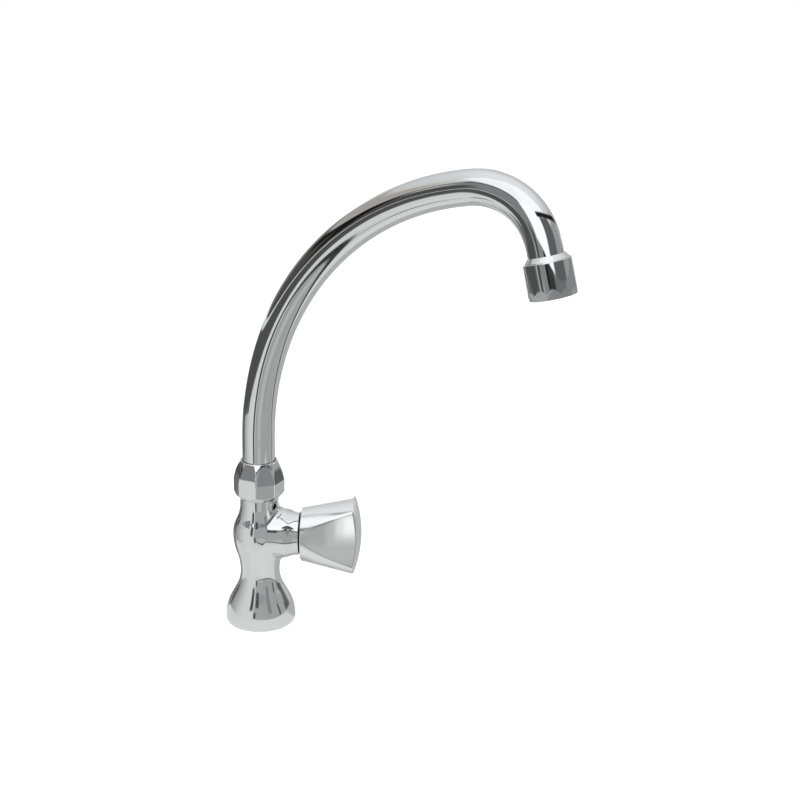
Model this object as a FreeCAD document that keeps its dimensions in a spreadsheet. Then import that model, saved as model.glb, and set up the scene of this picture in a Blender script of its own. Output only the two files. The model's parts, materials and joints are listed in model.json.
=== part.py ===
"""Basin tap with a swivelling swan-neck spout, a side valve and a knob with two grip faces.

Millimetres, +Z up. The origin is the centre of the foot's underside, on the deck. The valve
axis runs along +X, and the spout swings about Z from its rest place in front of +X.
"""
import FreeCAD, Part
import Sketcher
import math
import os
import re

# Driving sizes, in millimetres and degrees
SIZES = {
    # Body casting: foot, waist, bulge and neck
    "foot_radius": 18.4,
    "foot_edge_radius": 4.5,
    "belly_radius": 19.4,
    "belly_height": 3.6,
    "belly_curve": 22.0,
    "flank_angle": 28.2,
    "waist_radius": 10.9,
    "waist_height": 30.0,
    "bulge_radius": 14.8,
    "valve_height": 52.4,
    "neck_radius": 10.6,
    "shoulder_rise": 17.6,
    "neck_length": 15.5,
    "pipe_thread_radius": 10.48,
    "thread_chamfer": 0.6,
    # Side boss and its inside
    "boss_length": 22.5,
    "boss_inset": 0.6,
    "boss_radius": 12.05,
    "boss_root": 11.0,
    "boss_blend": 4.0,
    "valve_thread_radius": 8.33,
    "chamber_floor": 1.3,
    "seat_lip_height": 0.8,
    "seat_lip_width": 1.2,
    "seat_hole_radius": 4.2,
    "pocket_offset": 6.0,
    "pocket_radius": 4.5,
    "pocket_overlap": 3.0,
    "seat_floor_wall": 2.6,
    "passage_offset": 5.5,
    "passage_radius": 4.0,
    "waterway_radius": 6.0,
    "neck_bore_radius": 7.5,
    # Fixing below the deck
    "gasket_recess_radius": 15.8,
    "gasket_thickness": 2.5,
    "gasket_clearance": 0.2,
    "washer_clearance": 0.42,
    "shank_socket": 12.0,
    "shank_length": 50.0,
    "shank_bore_radius": 6.5,
    "relief_depth": 1.1,
    "relief_width": 1.6,
    "relief_below_nut": 1.5,
    "deck_gap": 12.0,
    "washer_thickness": 2.5,
    "washer_radius": 17.0,
    "clamp_washer_thickness": 2.0,
    "clamp_washer_radius": 17.5,
    "backnut_height": 9.0,
    "backnut_flats": 28.0,
    # Union nut of the spout
    "nut_flats": 26.2,
    "nut_sides": 8,
    "nut_skirt": 11.4,
    "nut_height": 21.4,
    "nut_flat_height": 10.1,
    "nut_clearance": 0.3,
    "nut_opening_gap": 0.4,
    "nut_bottom_radius": 11.2,
    "nut_chamfer_height": 2.5,
    "nut_rim_radius": 10.0,
    "nut_dome_curve": 30.0,
    # Spout tube, as seen in its own plane
    "tube_radius": 9.0,
    "tube_wall": 1.0,
    "tube_rise": 18.8,
    "long_bend_radius": 154.4,
    "long_bend_angle": 80.0,
    "crown_bend_radius": 40.3,
    "crown_bend_angle": 28.9,
    "end_bend_radius": 31.1,
    "end_bend_angle": 56.1,
    "tube_end_straight": 6.9,
    "swing": 30.2,
    # Foot of the spout, sealed in the neck
    "friction_washer_thickness": 0.8,
    "flange_thickness": 2.0,
    "flange_clearance": 0.28,
    "spigot_clearance": 0.1,
    "spigot_length": 16.3,
    "spigot_foot_room": 4.0,
    "spigot_bore_radius": 4.5,
    "spigot_nose": 4.0,
    "seal_thickness": 1.5,
    "seal_setback": 4.0,
    "seal_pitch": 6.0,
    "seal_clearance": 0.05,
    "slip_ring_thickness": 0.8,
    "slip_ring_angle": 350.0,
    # Outlet: bush, aerator shell and its inside
    "bush_cone_height": 2.5,
    "bush_edge": 0.25,
    "tube_socket": 3.0,
    "bush_shoulder": 0.3,
    "aerator_thread_radius": 11.0,
    "aerator_thread_length": 8.0,
    "aerator_wall": 1.0,
    "core_seat_width": 0.5,
    "aerator_length": 17.5,
    "aerator_top_chamfer": 0.4,
    "facet_count": 12,
    "facet_height": 4.7,
    "facet_depth": 0.8,
    "aerator_gasket_thickness": 1.5,
    "core_rim_thickness": 1.4,
    "core_recess": 0.9,
    "core_clearance": 0.15,
    "core_wall": 1.1,
    "jet_plate_depth": 2.0,
    "jet_plate_thickness": 1.0,
    "jet_circle": 6.0,
    "jet_radius": 0.6,
    "jet_count": 12,
    "screen_thickness": 0.3,
    "grid_thickness": 1.2,
    "grid_cell": 2.1,
    "grid_pitch": 2.7,
    # Valve headwork
    "fibre_thickness": 0.8,
    "valve_thread_length": 12.3,
    "housing_flange_width": 2.67,
    "housing_flange_thickness": 2.0,
    "housing_flats": 19.0,
    "housing_hexagon_length": 5.0,
    "housing_neck_radius": 7.0,
    "housing_neck_length": 3.7,
    "guide_clearance": 0.1,
    "guide_length": 8.0,
    "spindle_radius": 4.0,
    "spindle_clearance": 0.05,
    "spindle_thread_radius": 3.9,
    "spindle_tip_room": 0.3,
    "drive_clearance": 0.1,
    "valve_travel": 3.5,
    "collar_thickness": 1.8,
    "collar_width": 1.2,
    "spindle_seal_setback": 4.1,
    "spindle_seal_pitch": 3.5,
    "spindle_seal_thickness": 1.4,
    "circlip_thickness": 0.8,
    "circlip_radius": 6.0,
    "circlip_groove_depth": 0.6,
    "circlip_angle": 300.0,
    "spline_setback": 0.3,
    "spline_length": 10.8,
    "spline_teeth": 20,
    "spline_depth": 0.5,
    "plunger_flats": 11.0,
    "plunger_head_rim": 0.9,
    "plunger_head_thickness": 2.0,
    "seat_washer_thickness": 3.0,
    "seat_washer_overlap": 0.6,
    "washer_screw_radius": 2.6,
    "washer_screw_head": 1.2,
    "washer_screw_shank_radius": 1.5,
    "washer_screw_grip": 1.6,
    # Knob
    "knob_gap": 1.0,
    "knob_length": 29.1,
    "dome_height": 4.0,
    "knob_wall": 2.7,
    "cavity_draft": 1.6,
    "rim_thickness": 3.1,
    "knob_rear_radius": 15.2,
    "knob_rim_radius": 21.75,
    "knob_edge_radius": 0.7,
    "grip_radius": 120.0,
    "grip_rear_distance": 15.5,
    "grip_front_distance": 15.65,
    "grip_lift": 8.0,
    "grip_count": 2,
    "hub_setback": 0.5,
    "hub_wall": 2.4,
    "web_thickness": 2.5,
    "insert_radius": 5.6,
    "insert_setback": 0.3,
    "insert_overrun": 0.5,
    "spline_clearance": 0.08,
    "screw_clearance": 0.2,
    "knob_screw_head": 2.4,
    "knob_screw_head_radius": 3.6,
    "knob_screw_length": 10.5,
    "screw_tip_room": 1.5,
    "screw_hole_clearance": 0.05,
    "knob_screw_radius": 1.95,
    "cap_radius": 8.4,
    "cap_clearance": 0.05,
    "cap_thickness": 4.3,
    "screw_well_clearance": 1.4,
}

# Places worked out from the sizes
PLACES = {
    "shoulder_height": "valve_height + shoulder_rise",
    "neck_top": "shoulder_height + neck_length",
    "nut_bottom": "neck_top - nut_skirt",
    "nut_top": "nut_bottom + nut_height",
    "nut_dome_start": "nut_bottom + nut_flat_height",
    "nut_opening_radius": "tube_radius + nut_opening_gap",
    "neck_thread_bottom": "nut_bottom - nut_clearance",
    "neck_bore_bottom": "spigot_bottom - spigot_foot_room",
    "pocket_top": "valve_height + pocket_radius",
    "pocket_bottom": "waterway_top - pocket_overlap",
    "waterway_top": "valve_height - valve_thread_radius - seat_floor_wall",
    "boss_root_radius": "bulge_radius - boss_inset",
    "gasket_hole_radius": "pipe_thread_radius + washer_clearance",
    "recess_fit": "gasket_recess_radius - gasket_clearance",
    "foot_fall": "belly_radius - waist_radius",
    "foot_rise": "waist_height - belly_height",
    "curve_sum": "(foot_rise * sin(flank_angle) - foot_fall * cos(flank_angle)) / (1 - cos(flank_angle))",
    "waist_curve": "curve_sum - belly_curve",
    "flank_low_radius": "belly_radius - belly_curve * (1 - cos(flank_angle))",
    "flank_low": "belly_height + belly_curve * sin(flank_angle)",
    "flank_high_radius": "waist_radius + waist_curve * (1 - cos(flank_angle))",
    "flank_high": "waist_height - waist_curve * sin(flank_angle)",
    "lower_swell": "valve_height - waist_height",
    "lower_step": "bulge_radius - waist_radius",
    "lower_curve": "(lower_swell ^ 2 + lower_step ^ 2) / (4 * lower_step)",
    "upper_step": "bulge_radius - neck_radius",
    "upper_curve": "(shoulder_rise ^ 2 + upper_step ^ 2) / (4 * upper_step)",
    "flare_run": "boss_length - boss_root",
    "flare_step": "boss_root_radius - boss_radius",
    "flare_curve": "(flare_run ^ 2 + flare_step ^ 2) / (4 * flare_step)",
    "seat_face": "chamber_floor + seat_lip_height",
    "washer_top": "-deck_gap",
    "washer_bottom": "washer_top - washer_thickness",
    "clamp_bottom": "washer_bottom - clamp_washer_thickness",
    "backnut_bottom": "clamp_bottom - backnut_height",
    "relief_top": "backnut_bottom - relief_below_nut",
    "relief_bottom": "relief_top - relief_width",
    "nut_corner_radius": "nut_flats / 2 / cos(180 / nut_sides)",
    "flange_bottom": "neck_top + friction_washer_thickness",
    "flange_radius": "pipe_thread_radius - flange_clearance",
    "spigot_bottom": "flange_bottom - spigot_length",
    "seal_low": "spigot_bottom + seal_setback",
    "seal_high": "seal_low + seal_pitch",
    "tube_start": "flange_bottom + flange_thickness",
    "nut_ceiling": "tube_start + slip_ring_thickness",
    "spigot_radius": "neck_bore_radius - spigot_clearance",
    "seal_groove_radius": "neck_bore_radius - seal_clearance - seal_thickness - 0.02",
    "tube_bore_radius": "tube_radius - tube_wall",
    "bend_start": "tube_start + tube_rise",
    "turn_two": "long_bend_angle + crown_bend_angle",
    "turn_three": "turn_two + end_bend_angle",
    "bend_two_reach": "long_bend_radius * (1 - cos(long_bend_angle))",
    "bend_two_height": "bend_start + long_bend_radius * sin(long_bend_angle)",
    "bend_three_reach": "bend_two_reach + crown_bend_radius * (cos(long_bend_angle) - cos(turn_two))",
    "bend_three_height": "bend_two_height + crown_bend_radius * (sin(turn_two) - sin(long_bend_angle))",
    "bend_end_reach": "bend_three_reach + end_bend_radius * (cos(turn_two) - cos(turn_three))",
    "bend_end_height": "bend_three_height + end_bend_radius * (sin(turn_three) - sin(turn_two))",
    "outlet_reach": "bend_end_reach + tube_end_straight * sin(turn_three)",
    "outlet_height": "bend_end_height + tube_end_straight * cos(turn_three)",
    "tube_end_reach": "outlet_reach + tube_socket * sin(turn_three)",
    "tube_end_height": "outlet_height + tube_socket * cos(turn_three)",
    "bush_shoulder_radius": "aerator_thread_radius + bush_shoulder",
    "aerator_radius": "aerator_thread_radius + aerator_wall",
    "aerator_mouth_radius": "aerator_thread_radius - core_seat_width",
    "facet_distance": "aerator_radius - facet_depth",
    "core_top": "-aerator_thread_length - aerator_gasket_thickness",
    "core_shoulder": "core_top - core_rim_thickness",
    "core_bottom": "core_recess - aerator_length",
    "core_radius": "aerator_mouth_radius - core_clearance",
    "core_bore_radius": "core_radius - core_wall",
    "jet_plate_top": "core_top - jet_plate_depth",
    "jet_plate_bottom": "jet_plate_top - jet_plate_thickness",
    "facet_top": "facet_height - aerator_length",
    "flange_start": "boss_length + fibre_thickness",
    "hexagon_start": "flange_start + housing_flange_thickness",
    "hexagon_end": "hexagon_start + housing_hexagon_length",
    "housing_start": "flange_start - valve_thread_length",
    "housing_end": "hexagon_end + housing_neck_length",
    "housing_flange_radius": "valve_thread_radius + housing_flange_width",
    "guide_end": "housing_start + guide_length",
    "spindle_start": "head_end + valve_travel + spindle_tip_room",
    "collar_radius": "spindle_radius + collar_width",
    "spindle_seal_low": "collar_hole_end + spindle_seal_setback",
    "spindle_seal_high": "spindle_seal_low + spindle_seal_pitch",
    "collar_end": "guide_end + collar_thickness",
    "spindle_hole_radius": "spindle_radius + spindle_clearance",
    "collar_hole_radius": "collar_radius + guide_clearance",
    "collar_hole_end": "collar_end + guide_clearance",
    "spindle_groove_radius": "spindle_radius - spindle_seal_thickness - 0.02",
    "circlip_start": "housing_end + spindle_clearance",
    "circlip_end": "circlip_start + circlip_thickness",
    "circlip_groove_radius": "spindle_radius - circlip_groove_depth",
    "spline_start": "circlip_end + spline_setback",
    "spline_end": "spline_start + spline_length",
    "seat_washer_radius": "seat_hole_radius + seat_lip_width + seat_washer_overlap",
    "plunger_head_radius": "seat_washer_radius + plunger_head_rim",
    "plunger_bore_radius": "spindle_thread_radius + drive_clearance",
    "plunger_end": "guide_end - guide_clearance - valve_travel",
    "washer_back": "seat_face + seat_washer_thickness",
    "head_end": "washer_back + plunger_head_thickness",
    "knob_rear": "boss_length + knob_gap",
    "knob_rim": "knob_rear + knob_length",
    "knob_tip": "knob_rim + dome_height",
    "cavity_radius": "grip_rear_distance - knob_wall",
    "cavity_end_radius": "cavity_radius - cavity_draft",
    "cavity_end": "knob_rim - rim_thickness",
    "insert_start": "spline_start + insert_setback",
    "insert_end": "spline_end + insert_overrun",
    "hub_start": "insert_start + hub_setback",
    "hub_radius": "insert_radius + hub_wall",
    "knob_screw_seat": "insert_end + web_thickness",
    "knob_screw_tip": "knob_screw_seat - knob_screw_length",
    "screw_hole_start": "knob_screw_tip - screw_tip_room",
    "screw_hole_radius": "knob_screw_radius + screw_hole_clearance",
    "screw_well_radius": "knob_screw_head_radius + screw_well_clearance",
    "cap_seat": "knob_tip - cap_thickness",
    "dome_curve": "(knob_rim_radius ^ 2 + dome_height ^ 2) / (2 * dome_height)",
    "cap_edge": "knob_tip - dome_curve + sqrt(dome_curve ^ 2 - cap_fit ^ 2)",
    "cap_fit": "cap_radius - cap_clearance",
    "grip_tilt": "atan((grip_rear_distance - grip_front_distance) / (knob_rim - knob_rear))",
}

document = FreeCAD.newDocument("basin_tap")
sheet = document.addObject("Spreadsheet::Sheet", "sizes")
for row, (alias, number) in enumerate(SIZES.items(), start=1):
    sheet.set(f"A{row}", alias.replace("_", " "))
    sheet.set(f"B{row}", str(number))
    sheet.setAlias(f"B{row}", alias)
document.recompute()

BODIES = []


# Expressions, sketches and features


def bound(text):
    """Write an expression with each place spelled out and each size read from the sheet."""

    def spell(match):
        word = match[0]
        if word in PLACES:
            return f"({bound(PLACES[word])})"
        return f"sizes.{word}" if word in SIZES else word

    return re.sub(r"[a-z][a-z_]*", spell, str(text))


def value(text):
    """The number that an expression gives at the present sizes."""
    return float(sheet.evalExpression(bound(text)))


def new_body(label):
    """Start a sub-part: a body whose label names its file."""
    body = document.addObject("PartDesign::Body", label)
    body.Label = label
    BODIES.append(body)
    return body


def origin_feature(body, role):
    """One of the body's own origin planes or axes."""
    return next(item for item in body.Origin.OriginFeatures if item.Role == role)


def new_sketch(body, name, plane, offset="0"):
    """An empty sketch on an origin plane, moved along the plane's normal by offset."""
    sketch = body.newObject("Sketcher::SketchObject", f"{body.Label}_{name}")
    sketch.AttachmentSupport = (origin_feature(body, plane), "")
    sketch.MapMode = "FlatFace"
    sketch.setExpression("AttachmentOffset.Base.z", bound(offset))
    return sketch


def hold(sketch, kind, where, text):
    """Add one dimension and bind it to an expression."""
    index = sketch.addConstraint(Sketcher.Constraint(kind, *where, value(text)))
    sketch.setExpression(f"Constraints[{index}]", bound(text))


def place_point(sketch, point, x, y):
    """Fix a sketch point at (x, y), on an axis where that coordinate is zero."""
    for kind, axis, text in (("DistanceX", -2, x), ("DistanceY", -1, y)):
        if text == "0":
            sketch.addConstraint(Sketcher.Constraint("PointOnObject", *point, axis))
        else:
            hold(sketch, kind, (-1, 1, *point), text)


def arc_between(start, end, radius):
    """The arc from start to end, turning left for a positive radius and right for a negative one."""
    chord = end - start
    rise = math.sqrt(max(radius * radius - chord.Length ** 2 / 4, 0))
    normal = FreeCAD.Vector(-chord.y, chord.x, 0).normalize()
    centre = (start + end) / 2 + normal * math.copysign(rise, radius)
    circle = Part.Circle(centre, FreeCAD.Vector(0, 0, 1), abs(radius))
    first, last = (start, end) if radius > 0 else (end, start)
    angles = [math.atan2(p.y - centre.y, p.x - centre.x) for p in (first, last)]
    return Part.ArcOfCircle(circle, *angles)


def chain(sketch, points, closed=True):
    """Join points by lines, or by an arc where a point (x, y, radius) has a radius for the way on."""
    spots = [FreeCAD.Vector(value(p[0]), value(p[1]), 0) for p in points]
    starts, ends = [], []
    for index in range(len(points) if closed else len(points) - 1):
        point, start, end = points[index], spots[index], spots[(index + 1) % len(points)]
        if len(point) == 3:
            radius = value(point[2])
            edge = sketch.addGeometry(arc_between(start, end, radius))
            hold(sketch, "Radius", (edge,), point[2] if radius > 0 else f"-({point[2]})")
            starts.append((edge, 1 if radius > 0 else 2))
            ends.append((edge, 2 if radius > 0 else 1))
        else:
            edge = sketch.addGeometry(Part.LineSegment(start, end))
            starts.append((edge, 1))
            ends.append((edge, 2))
        place_point(sketch, starts[-1], point[0], point[1])
    for index, end in enumerate(ends):
        if index + 1 < len(starts) or closed:
            sketch.addConstraint(Sketcher.Constraint("Coincident", *end, *starts[(index + 1) % len(starts)]))
        else:
            place_point(sketch, end, *points[-1][:2])


def outline(body, name, plane, points, offset="0"):
    """A closed sketch through the points."""
    sketch = new_sketch(body, name, plane, offset)
    chain(sketch, points)
    return sketch


def circles(body, name, plane, radii, offset="0", centre=("0", "0")):
    """A sketch of circles about one centre."""
    sketch = new_sketch(body, name, plane, offset)
    for radius in radii:
        spot = FreeCAD.Vector(value(centre[0]), value(centre[1]), 0)
        edge = sketch.addGeometry(Part.Circle(spot, FreeCAD.Vector(0, 0, 1), value(radius)))
        place_point(sketch, (edge, 3), *centre)
        hold(sketch, "Radius", (edge,), radius)
    return sketch


def polygon(sides, flats):
    """The corners of a regular polygon of a given size across its flats."""
    reach = f"({flats}) / 2 / cos(180 / {sides})"
    count = int(value(sides))
    angles = [f"{index} * 360 / {count}" for index in range(count)]
    return [(f"{reach} * cos({angle})", f"{reach} * sin({angle})") for angle in angles]


def star(teeth, outer, depth):
    """The corners of a toothed ring, which alternate between two radii."""
    count = 2 * int(value(teeth))
    points = []
    for index in range(count):
        reach = f"(({outer}) - {index % 2} * ({depth}))"
        points.append((f"{reach} * cos({index} * 360 / {count})", f"{reach} * sin({index} * 360 / {count})"))
    return points


def feature(body, kind, name, sketch, **settings):
    """Add a feature made from a sketch."""
    made = body.newObject(f"PartDesign::{kind}", f"{body.Label}_{name}")
    made.Profile = sketch
    for key, setting in settings.items():
        setattr(made, key, setting)
    sketch.Visibility = False
    return made


def turned(body, name, sketch, axis, cut=False, angle="360"):
    """Revolve a sketch about one of its axes, to add or to cut."""
    kind = "Groove" if cut else "Revolution"
    made = feature(body, kind, name, sketch, ReferenceAxis=(sketch, [axis]))
    made.setExpression("Angle", bound(angle))
    return made


def raised(body, name, sketch, length, **settings):
    """Pad a sketch along its plane's normal."""
    made = feature(body, "Pad", name, sketch, **settings)
    made.setExpression("Length", bound(length))
    return made


def sunk(body, name, sketch, length, **settings):
    """Cut a sketch against its plane's normal."""
    made = feature(body, "Pocket", name, sketch, **settings)
    made.setExpression("Length", bound(length))
    return made


def around(body, name, original, role, count):
    """Repeat a feature evenly about an origin axis."""
    pattern = body.newObject("PartDesign::PolarPattern", f"{body.Label}_{name}")
    pattern.Originals = [original]
    pattern.Axis = (origin_feature(body, role), [""])
    pattern.Angle = 360
    pattern.setExpression("Occurrences", bound(count))
    body.Tip = pattern
    return pattern


def rounded(body, name, radius, chosen):
    """Fillet the edges of the body's present shape that a test picks."""
    document.recompute()
    base = body.Tip
    names = [f"Edge{n}" for n, edge in enumerate(base.Shape.Edges, start=1) if chosen(edge)]
    made = body.newObject("PartDesign::Fillet", f"{body.Label}_{name}")
    made.Base = (base, names)
    made.setExpression("Radius", bound(radius))
    return made


def ring(label, inner, outer, bottom, height):
    """A flat ring about the pillar's axis."""
    body = new_body(label)
    raised(body, "ring", circles(body, "section", "XY_Plane", [outer, inner], bottom), height)
    return body


def seal(body, name, place, thickness, outer, axis):
    """An O-ring whose outside has a given radius, at a place along the axis."""
    centre = f"{outer} - {thickness} / 2"
    spot = (centre, place) if axis == "V_Axis" else (place, centre)
    section = circles(body, f"{name}_section", "XZ_Plane", [f"{thickness} / 2"], centre=spot)
    turned(body, name, section, axis)


def on_valve_axis(body):
    """Lift a piece that is drawn about X to the height of the valve."""
    body.setExpression(".Placement.Base.z", bound("valve_height"))
    return body


def on_spout(body):
    """Turn a piece that is drawn in the XZ plane to where the spout rests."""
    body.Placement = FreeCAD.Placement(FreeCAD.Vector(), FreeCAD.Rotation(-value("swing"), 0, 0))
    return body


def on_outlet(body):
    """Place a piece that is drawn about Z, with the tube above it, on the tilted end of the spout."""
    tilt = FreeCAD.Rotation(0, value("turn_three") - 180, 0)
    reach = FreeCAD.Placement(FreeCAD.Vector(value("outlet_reach"), 0, value("outlet_height")), tilt)
    swing = FreeCAD.Placement(FreeCAD.Vector(), FreeCAD.Rotation(-value("swing"), 0, 0))
    body.Placement = swing * reach
    return body


# Body, fixing and union nut


def tap_body():
    """The waisted casting: turned pillar, side boss blended in, and the water's way through it."""
    body = new_body("body")
    pillar = outline(body, "pillar_outline", "XZ_Plane", [
        ("0", "0"),
        ("foot_radius", "0", "foot_edge_radius"),
        ("belly_radius", "belly_height", "belly_curve"),
        ("flank_low_radius", "flank_low"),
        ("flank_high_radius", "flank_high", "-waist_curve"),
        ("waist_radius", "waist_height", "-lower_curve"),
        ("waist_radius + lower_step / 2", "waist_height + lower_swell / 2", "lower_curve"),
        ("bulge_radius", "valve_height", "upper_curve"),
        ("neck_radius + upper_step / 2", "valve_height + shoulder_rise / 2", "-upper_curve"),
        ("neck_radius", "shoulder_height"),
        ("neck_radius", "neck_thread_bottom"),
        ("pipe_thread_radius", "neck_thread_bottom"),
        ("pipe_thread_radius", "neck_top - thread_chamfer"),
        ("pipe_thread_radius - thread_chamfer", "neck_top"),
        ("0", "neck_top"),
    ])
    turned(body, "pillar", pillar, "V_Axis")
    boss = valve_sketch(body, "boss_outline", [
        ("0", "0"),
        ("boss_length", "0"),
        ("boss_length", "boss_radius", "-flare_curve"),
        ("boss_root + flare_run / 2", "boss_radius + flare_step / 2", "flare_curve"),
        ("boss_root", "boss_root_radius"),
        ("0", "boss_root_radius"),
    ])
    turned(body, "boss", boss, "Axis0")
    rounded(body, "boss_blend", "boss_blend", is_boss_seam)
    waterway = outline(body, "waterway_outline", "XZ_Plane", [
        ("0", "0"),
        ("gasket_recess_radius", "0"),
        ("gasket_recess_radius", "gasket_thickness"),
        ("pipe_thread_radius", "gasket_thickness"),
        ("pipe_thread_radius", "shank_socket"),
        ("waterway_radius", "shank_socket"),
        ("waterway_radius", "waterway_top"),
        ("0", "waterway_top"),
    ])
    turned(body, "waterway", waterway, "V_Axis", cut=True)
    neck = circles(body, "neck_circle", "XY_Plane", ["neck_bore_radius"], "neck_top")
    sunk(body, "neck_bore", neck, "neck_top - neck_bore_bottom")
    pocket = circles(
        body, "pocket_circle", "XY_Plane", ["pocket_radius"], "pocket_top", ("-pocket_offset", "0")
    )
    sunk(body, "inlet_pocket", pocket, "pocket_top - pocket_bottom")
    chamber = valve_sketch(body, "chamber_outline", [
        ("-pocket_offset", "0"),
        ("-pocket_offset", "seat_hole_radius"),
        ("seat_face", "seat_hole_radius"),
        ("seat_face", "seat_hole_radius + seat_lip_width"),
        ("chamber_floor", "seat_hole_radius + 1.5 * seat_lip_width"),
        ("chamber_floor", "valve_thread_radius"),
        ("boss_length", "valve_thread_radius"),
        ("boss_length", "0"),
    ])
    turned(body, "chamber", chamber, "Axis0", cut=True)
    passage = circles(
        body, "passage_circle", "XY_Plane", ["passage_radius"], "neck_bore_bottom", ("passage_offset", "0")
    )
    sunk(body, "outlet_passage", passage, "neck_bore_bottom - valve_height")


def valve_sketch(body, name, points):
    """A closed sketch about the valve's axis: its points are (x, distance from that axis)."""
    sketch = new_sketch(body, name, "XZ_Plane")
    ends = [("0", "valve_height"), ("boss_length", "valve_height")]
    spots = [FreeCAD.Vector(value(x), value(y), 0) for x, y in ends]
    axis = sketch.addGeometry(Part.LineSegment(*spots), True)
    for corner, (x, y) in enumerate(ends, start=1):
        place_point(sketch, (axis, corner), x, y)
    chain(sketch, [(point[0], f"valve_height + {point[1]}", *point[2:]) for point in points])
    return sketch


def is_boss_seam(edge):
    """True for the edges where the boss grows out of the pillar, the only ones there that aren't round."""
    box = edge.BoundBox
    beside = 0 < box.XMin and box.XMax < value("boss_length")
    about_valve = abs(box.Center.z - value("valve_height")) < value("boss_root_radius")
    return beside and about_valve and not isinstance(edge.Curve, Part.Circle)


def fixings():
    """The gasket under the foot, the tail through the deck and what clamps it."""
    ring("base_gasket", "gasket_hole_radius", "recess_fit", "0", "gasket_thickness")
    shank = new_body("threaded_shank")
    section = outline(shank, "section", "XZ_Plane", [
        ("shank_bore_radius", "-shank_length"),
        ("pipe_thread_radius - thread_chamfer", "-shank_length"),
        ("pipe_thread_radius", "thread_chamfer - shank_length"),
        ("pipe_thread_radius", "relief_bottom"),
        ("pipe_thread_radius - relief_depth", "relief_bottom"),
        ("pipe_thread_radius - relief_depth", "relief_top"),
        ("pipe_thread_radius", "relief_top"),
        ("pipe_thread_radius", "shank_socket"),
        ("shank_bore_radius", "shank_socket"),
    ])
    turned(shank, "tail", section, "V_Axis")
    ring("rubber_washer", "gasket_hole_radius", "washer_radius", "washer_bottom", "washer_thickness")
    hole, thickness = "gasket_hole_radius", "clamp_washer_thickness"
    ring("clamp_washer", hole, "clamp_washer_radius", "clamp_bottom", thickness)
    backnut = new_body("backnut")
    hexagon = outline(backnut, "hexagon", "XY_Plane", polygon("6", "backnut_flats"), "backnut_bottom")
    raised(backnut, "block", hexagon, "backnut_height")
    hole = circles(backnut, "thread", "XY_Plane", ["pipe_thread_radius"], "clamp_bottom")
    sunk(backnut, "hole", hole, "backnut_height")


def spout_nut():
    """The octagonal union nut: a domed turning with eight flats."""
    body = new_body("spout_nut")
    section = outline(body, "section", "XZ_Plane", [
        ("pipe_thread_radius", "nut_bottom"),
        ("nut_bottom_radius", "nut_bottom"),
        ("nut_corner_radius", "nut_bottom + nut_chamfer_height"),
        ("nut_corner_radius", "nut_dome_start", "nut_dome_curve"),
        ("nut_rim_radius", "nut_top"),
        ("nut_opening_radius", "nut_top"),
        ("nut_opening_radius", "nut_ceiling"),
        ("pipe_thread_radius", "nut_ceiling"),
    ])
    turned(body, "turning", section, "V_Axis")
    corner = "nut_corner_radius"
    angle = "180 / nut_sides"
    flat = outline(body, "flat", "XY_Plane", [
        (f"nut_flats / 2 * cos({angle}) + {corner} * sin({angle})",
         f"nut_flats / 2 * sin({angle}) - {corner} * cos({angle})"),
        (f"{corner} * (cos({angle}) + sin({angle}))", f"{corner} * (sin({angle}) - cos({angle}))"),
        (f"{corner} * (cos({angle}) - sin({angle}))", f"{corner} * (sin({angle}) + cos({angle}))"),
        (f"nut_flats / 2 * cos({angle}) - {corner} * sin({angle})",
         f"nut_flats / 2 * sin({angle}) + {corner} * cos({angle})"),
    ], "nut_top")
    cut = sunk(body, "flat_cut", flat, "nut_top - nut_bottom")
    around(body, "flats", cut, "Z_Axis", "nut_sides")


# Spout


def spout_foot():
    """The flanged spigot with its seals, and the rings that it turns between."""
    body = on_spout(new_body("spout_spigot"))
    grooves = []
    for place in ("seal_low", "seal_high"):
        grooves += [
            ("spigot_radius", f"{place} - 0.55 * seal_thickness"),
            ("seal_groove_radius", f"{place} - 0.55 * seal_thickness"),
            ("seal_groove_radius", f"{place} + 0.55 * seal_thickness"),
            ("spigot_radius", f"{place} + 0.55 * seal_thickness"),
        ]
    section = outline(body, "section", "XZ_Plane", [
        ("spigot_bore_radius", "spigot_bottom"),
        ("spigot_radius", "spigot_bottom"),
        *grooves,
        ("spigot_radius", "flange_bottom"),
        ("flange_radius", "flange_bottom"),
        ("flange_radius", "tube_start"),
        ("tube_bore_radius", "tube_start"),
        ("tube_bore_radius", "tube_start + spigot_nose"),
        ("spigot_bore_radius", "tube_start + spigot_nose"),
    ])
    turned(body, "turning", section, "V_Axis")
    for name, place in (("lower", "seal_low"), ("upper", "seal_high")):
        o_ring = on_spout(new_body(f"spigot_o_ring_{name}"))
        seal(o_ring, "ring", place, "seal_thickness", "(neck_bore_radius - seal_clearance)", "V_Axis")
    thickness = "friction_washer_thickness"
    on_spout(ring("friction_washer", "neck_bore_radius", "flange_radius", "neck_top", thickness))
    slip = new_body("slip_ring")
    section = outline(slip, "section", "XZ_Plane", [
        ("tube_radius + spigot_clearance", "tube_start"),
        ("flange_radius", "tube_start"),
        ("flange_radius", "nut_ceiling"),
        ("tube_radius + spigot_clearance", "nut_ceiling"),
    ])
    turned(slip, "ring", section, "V_Axis", angle="slip_ring_angle")


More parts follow.
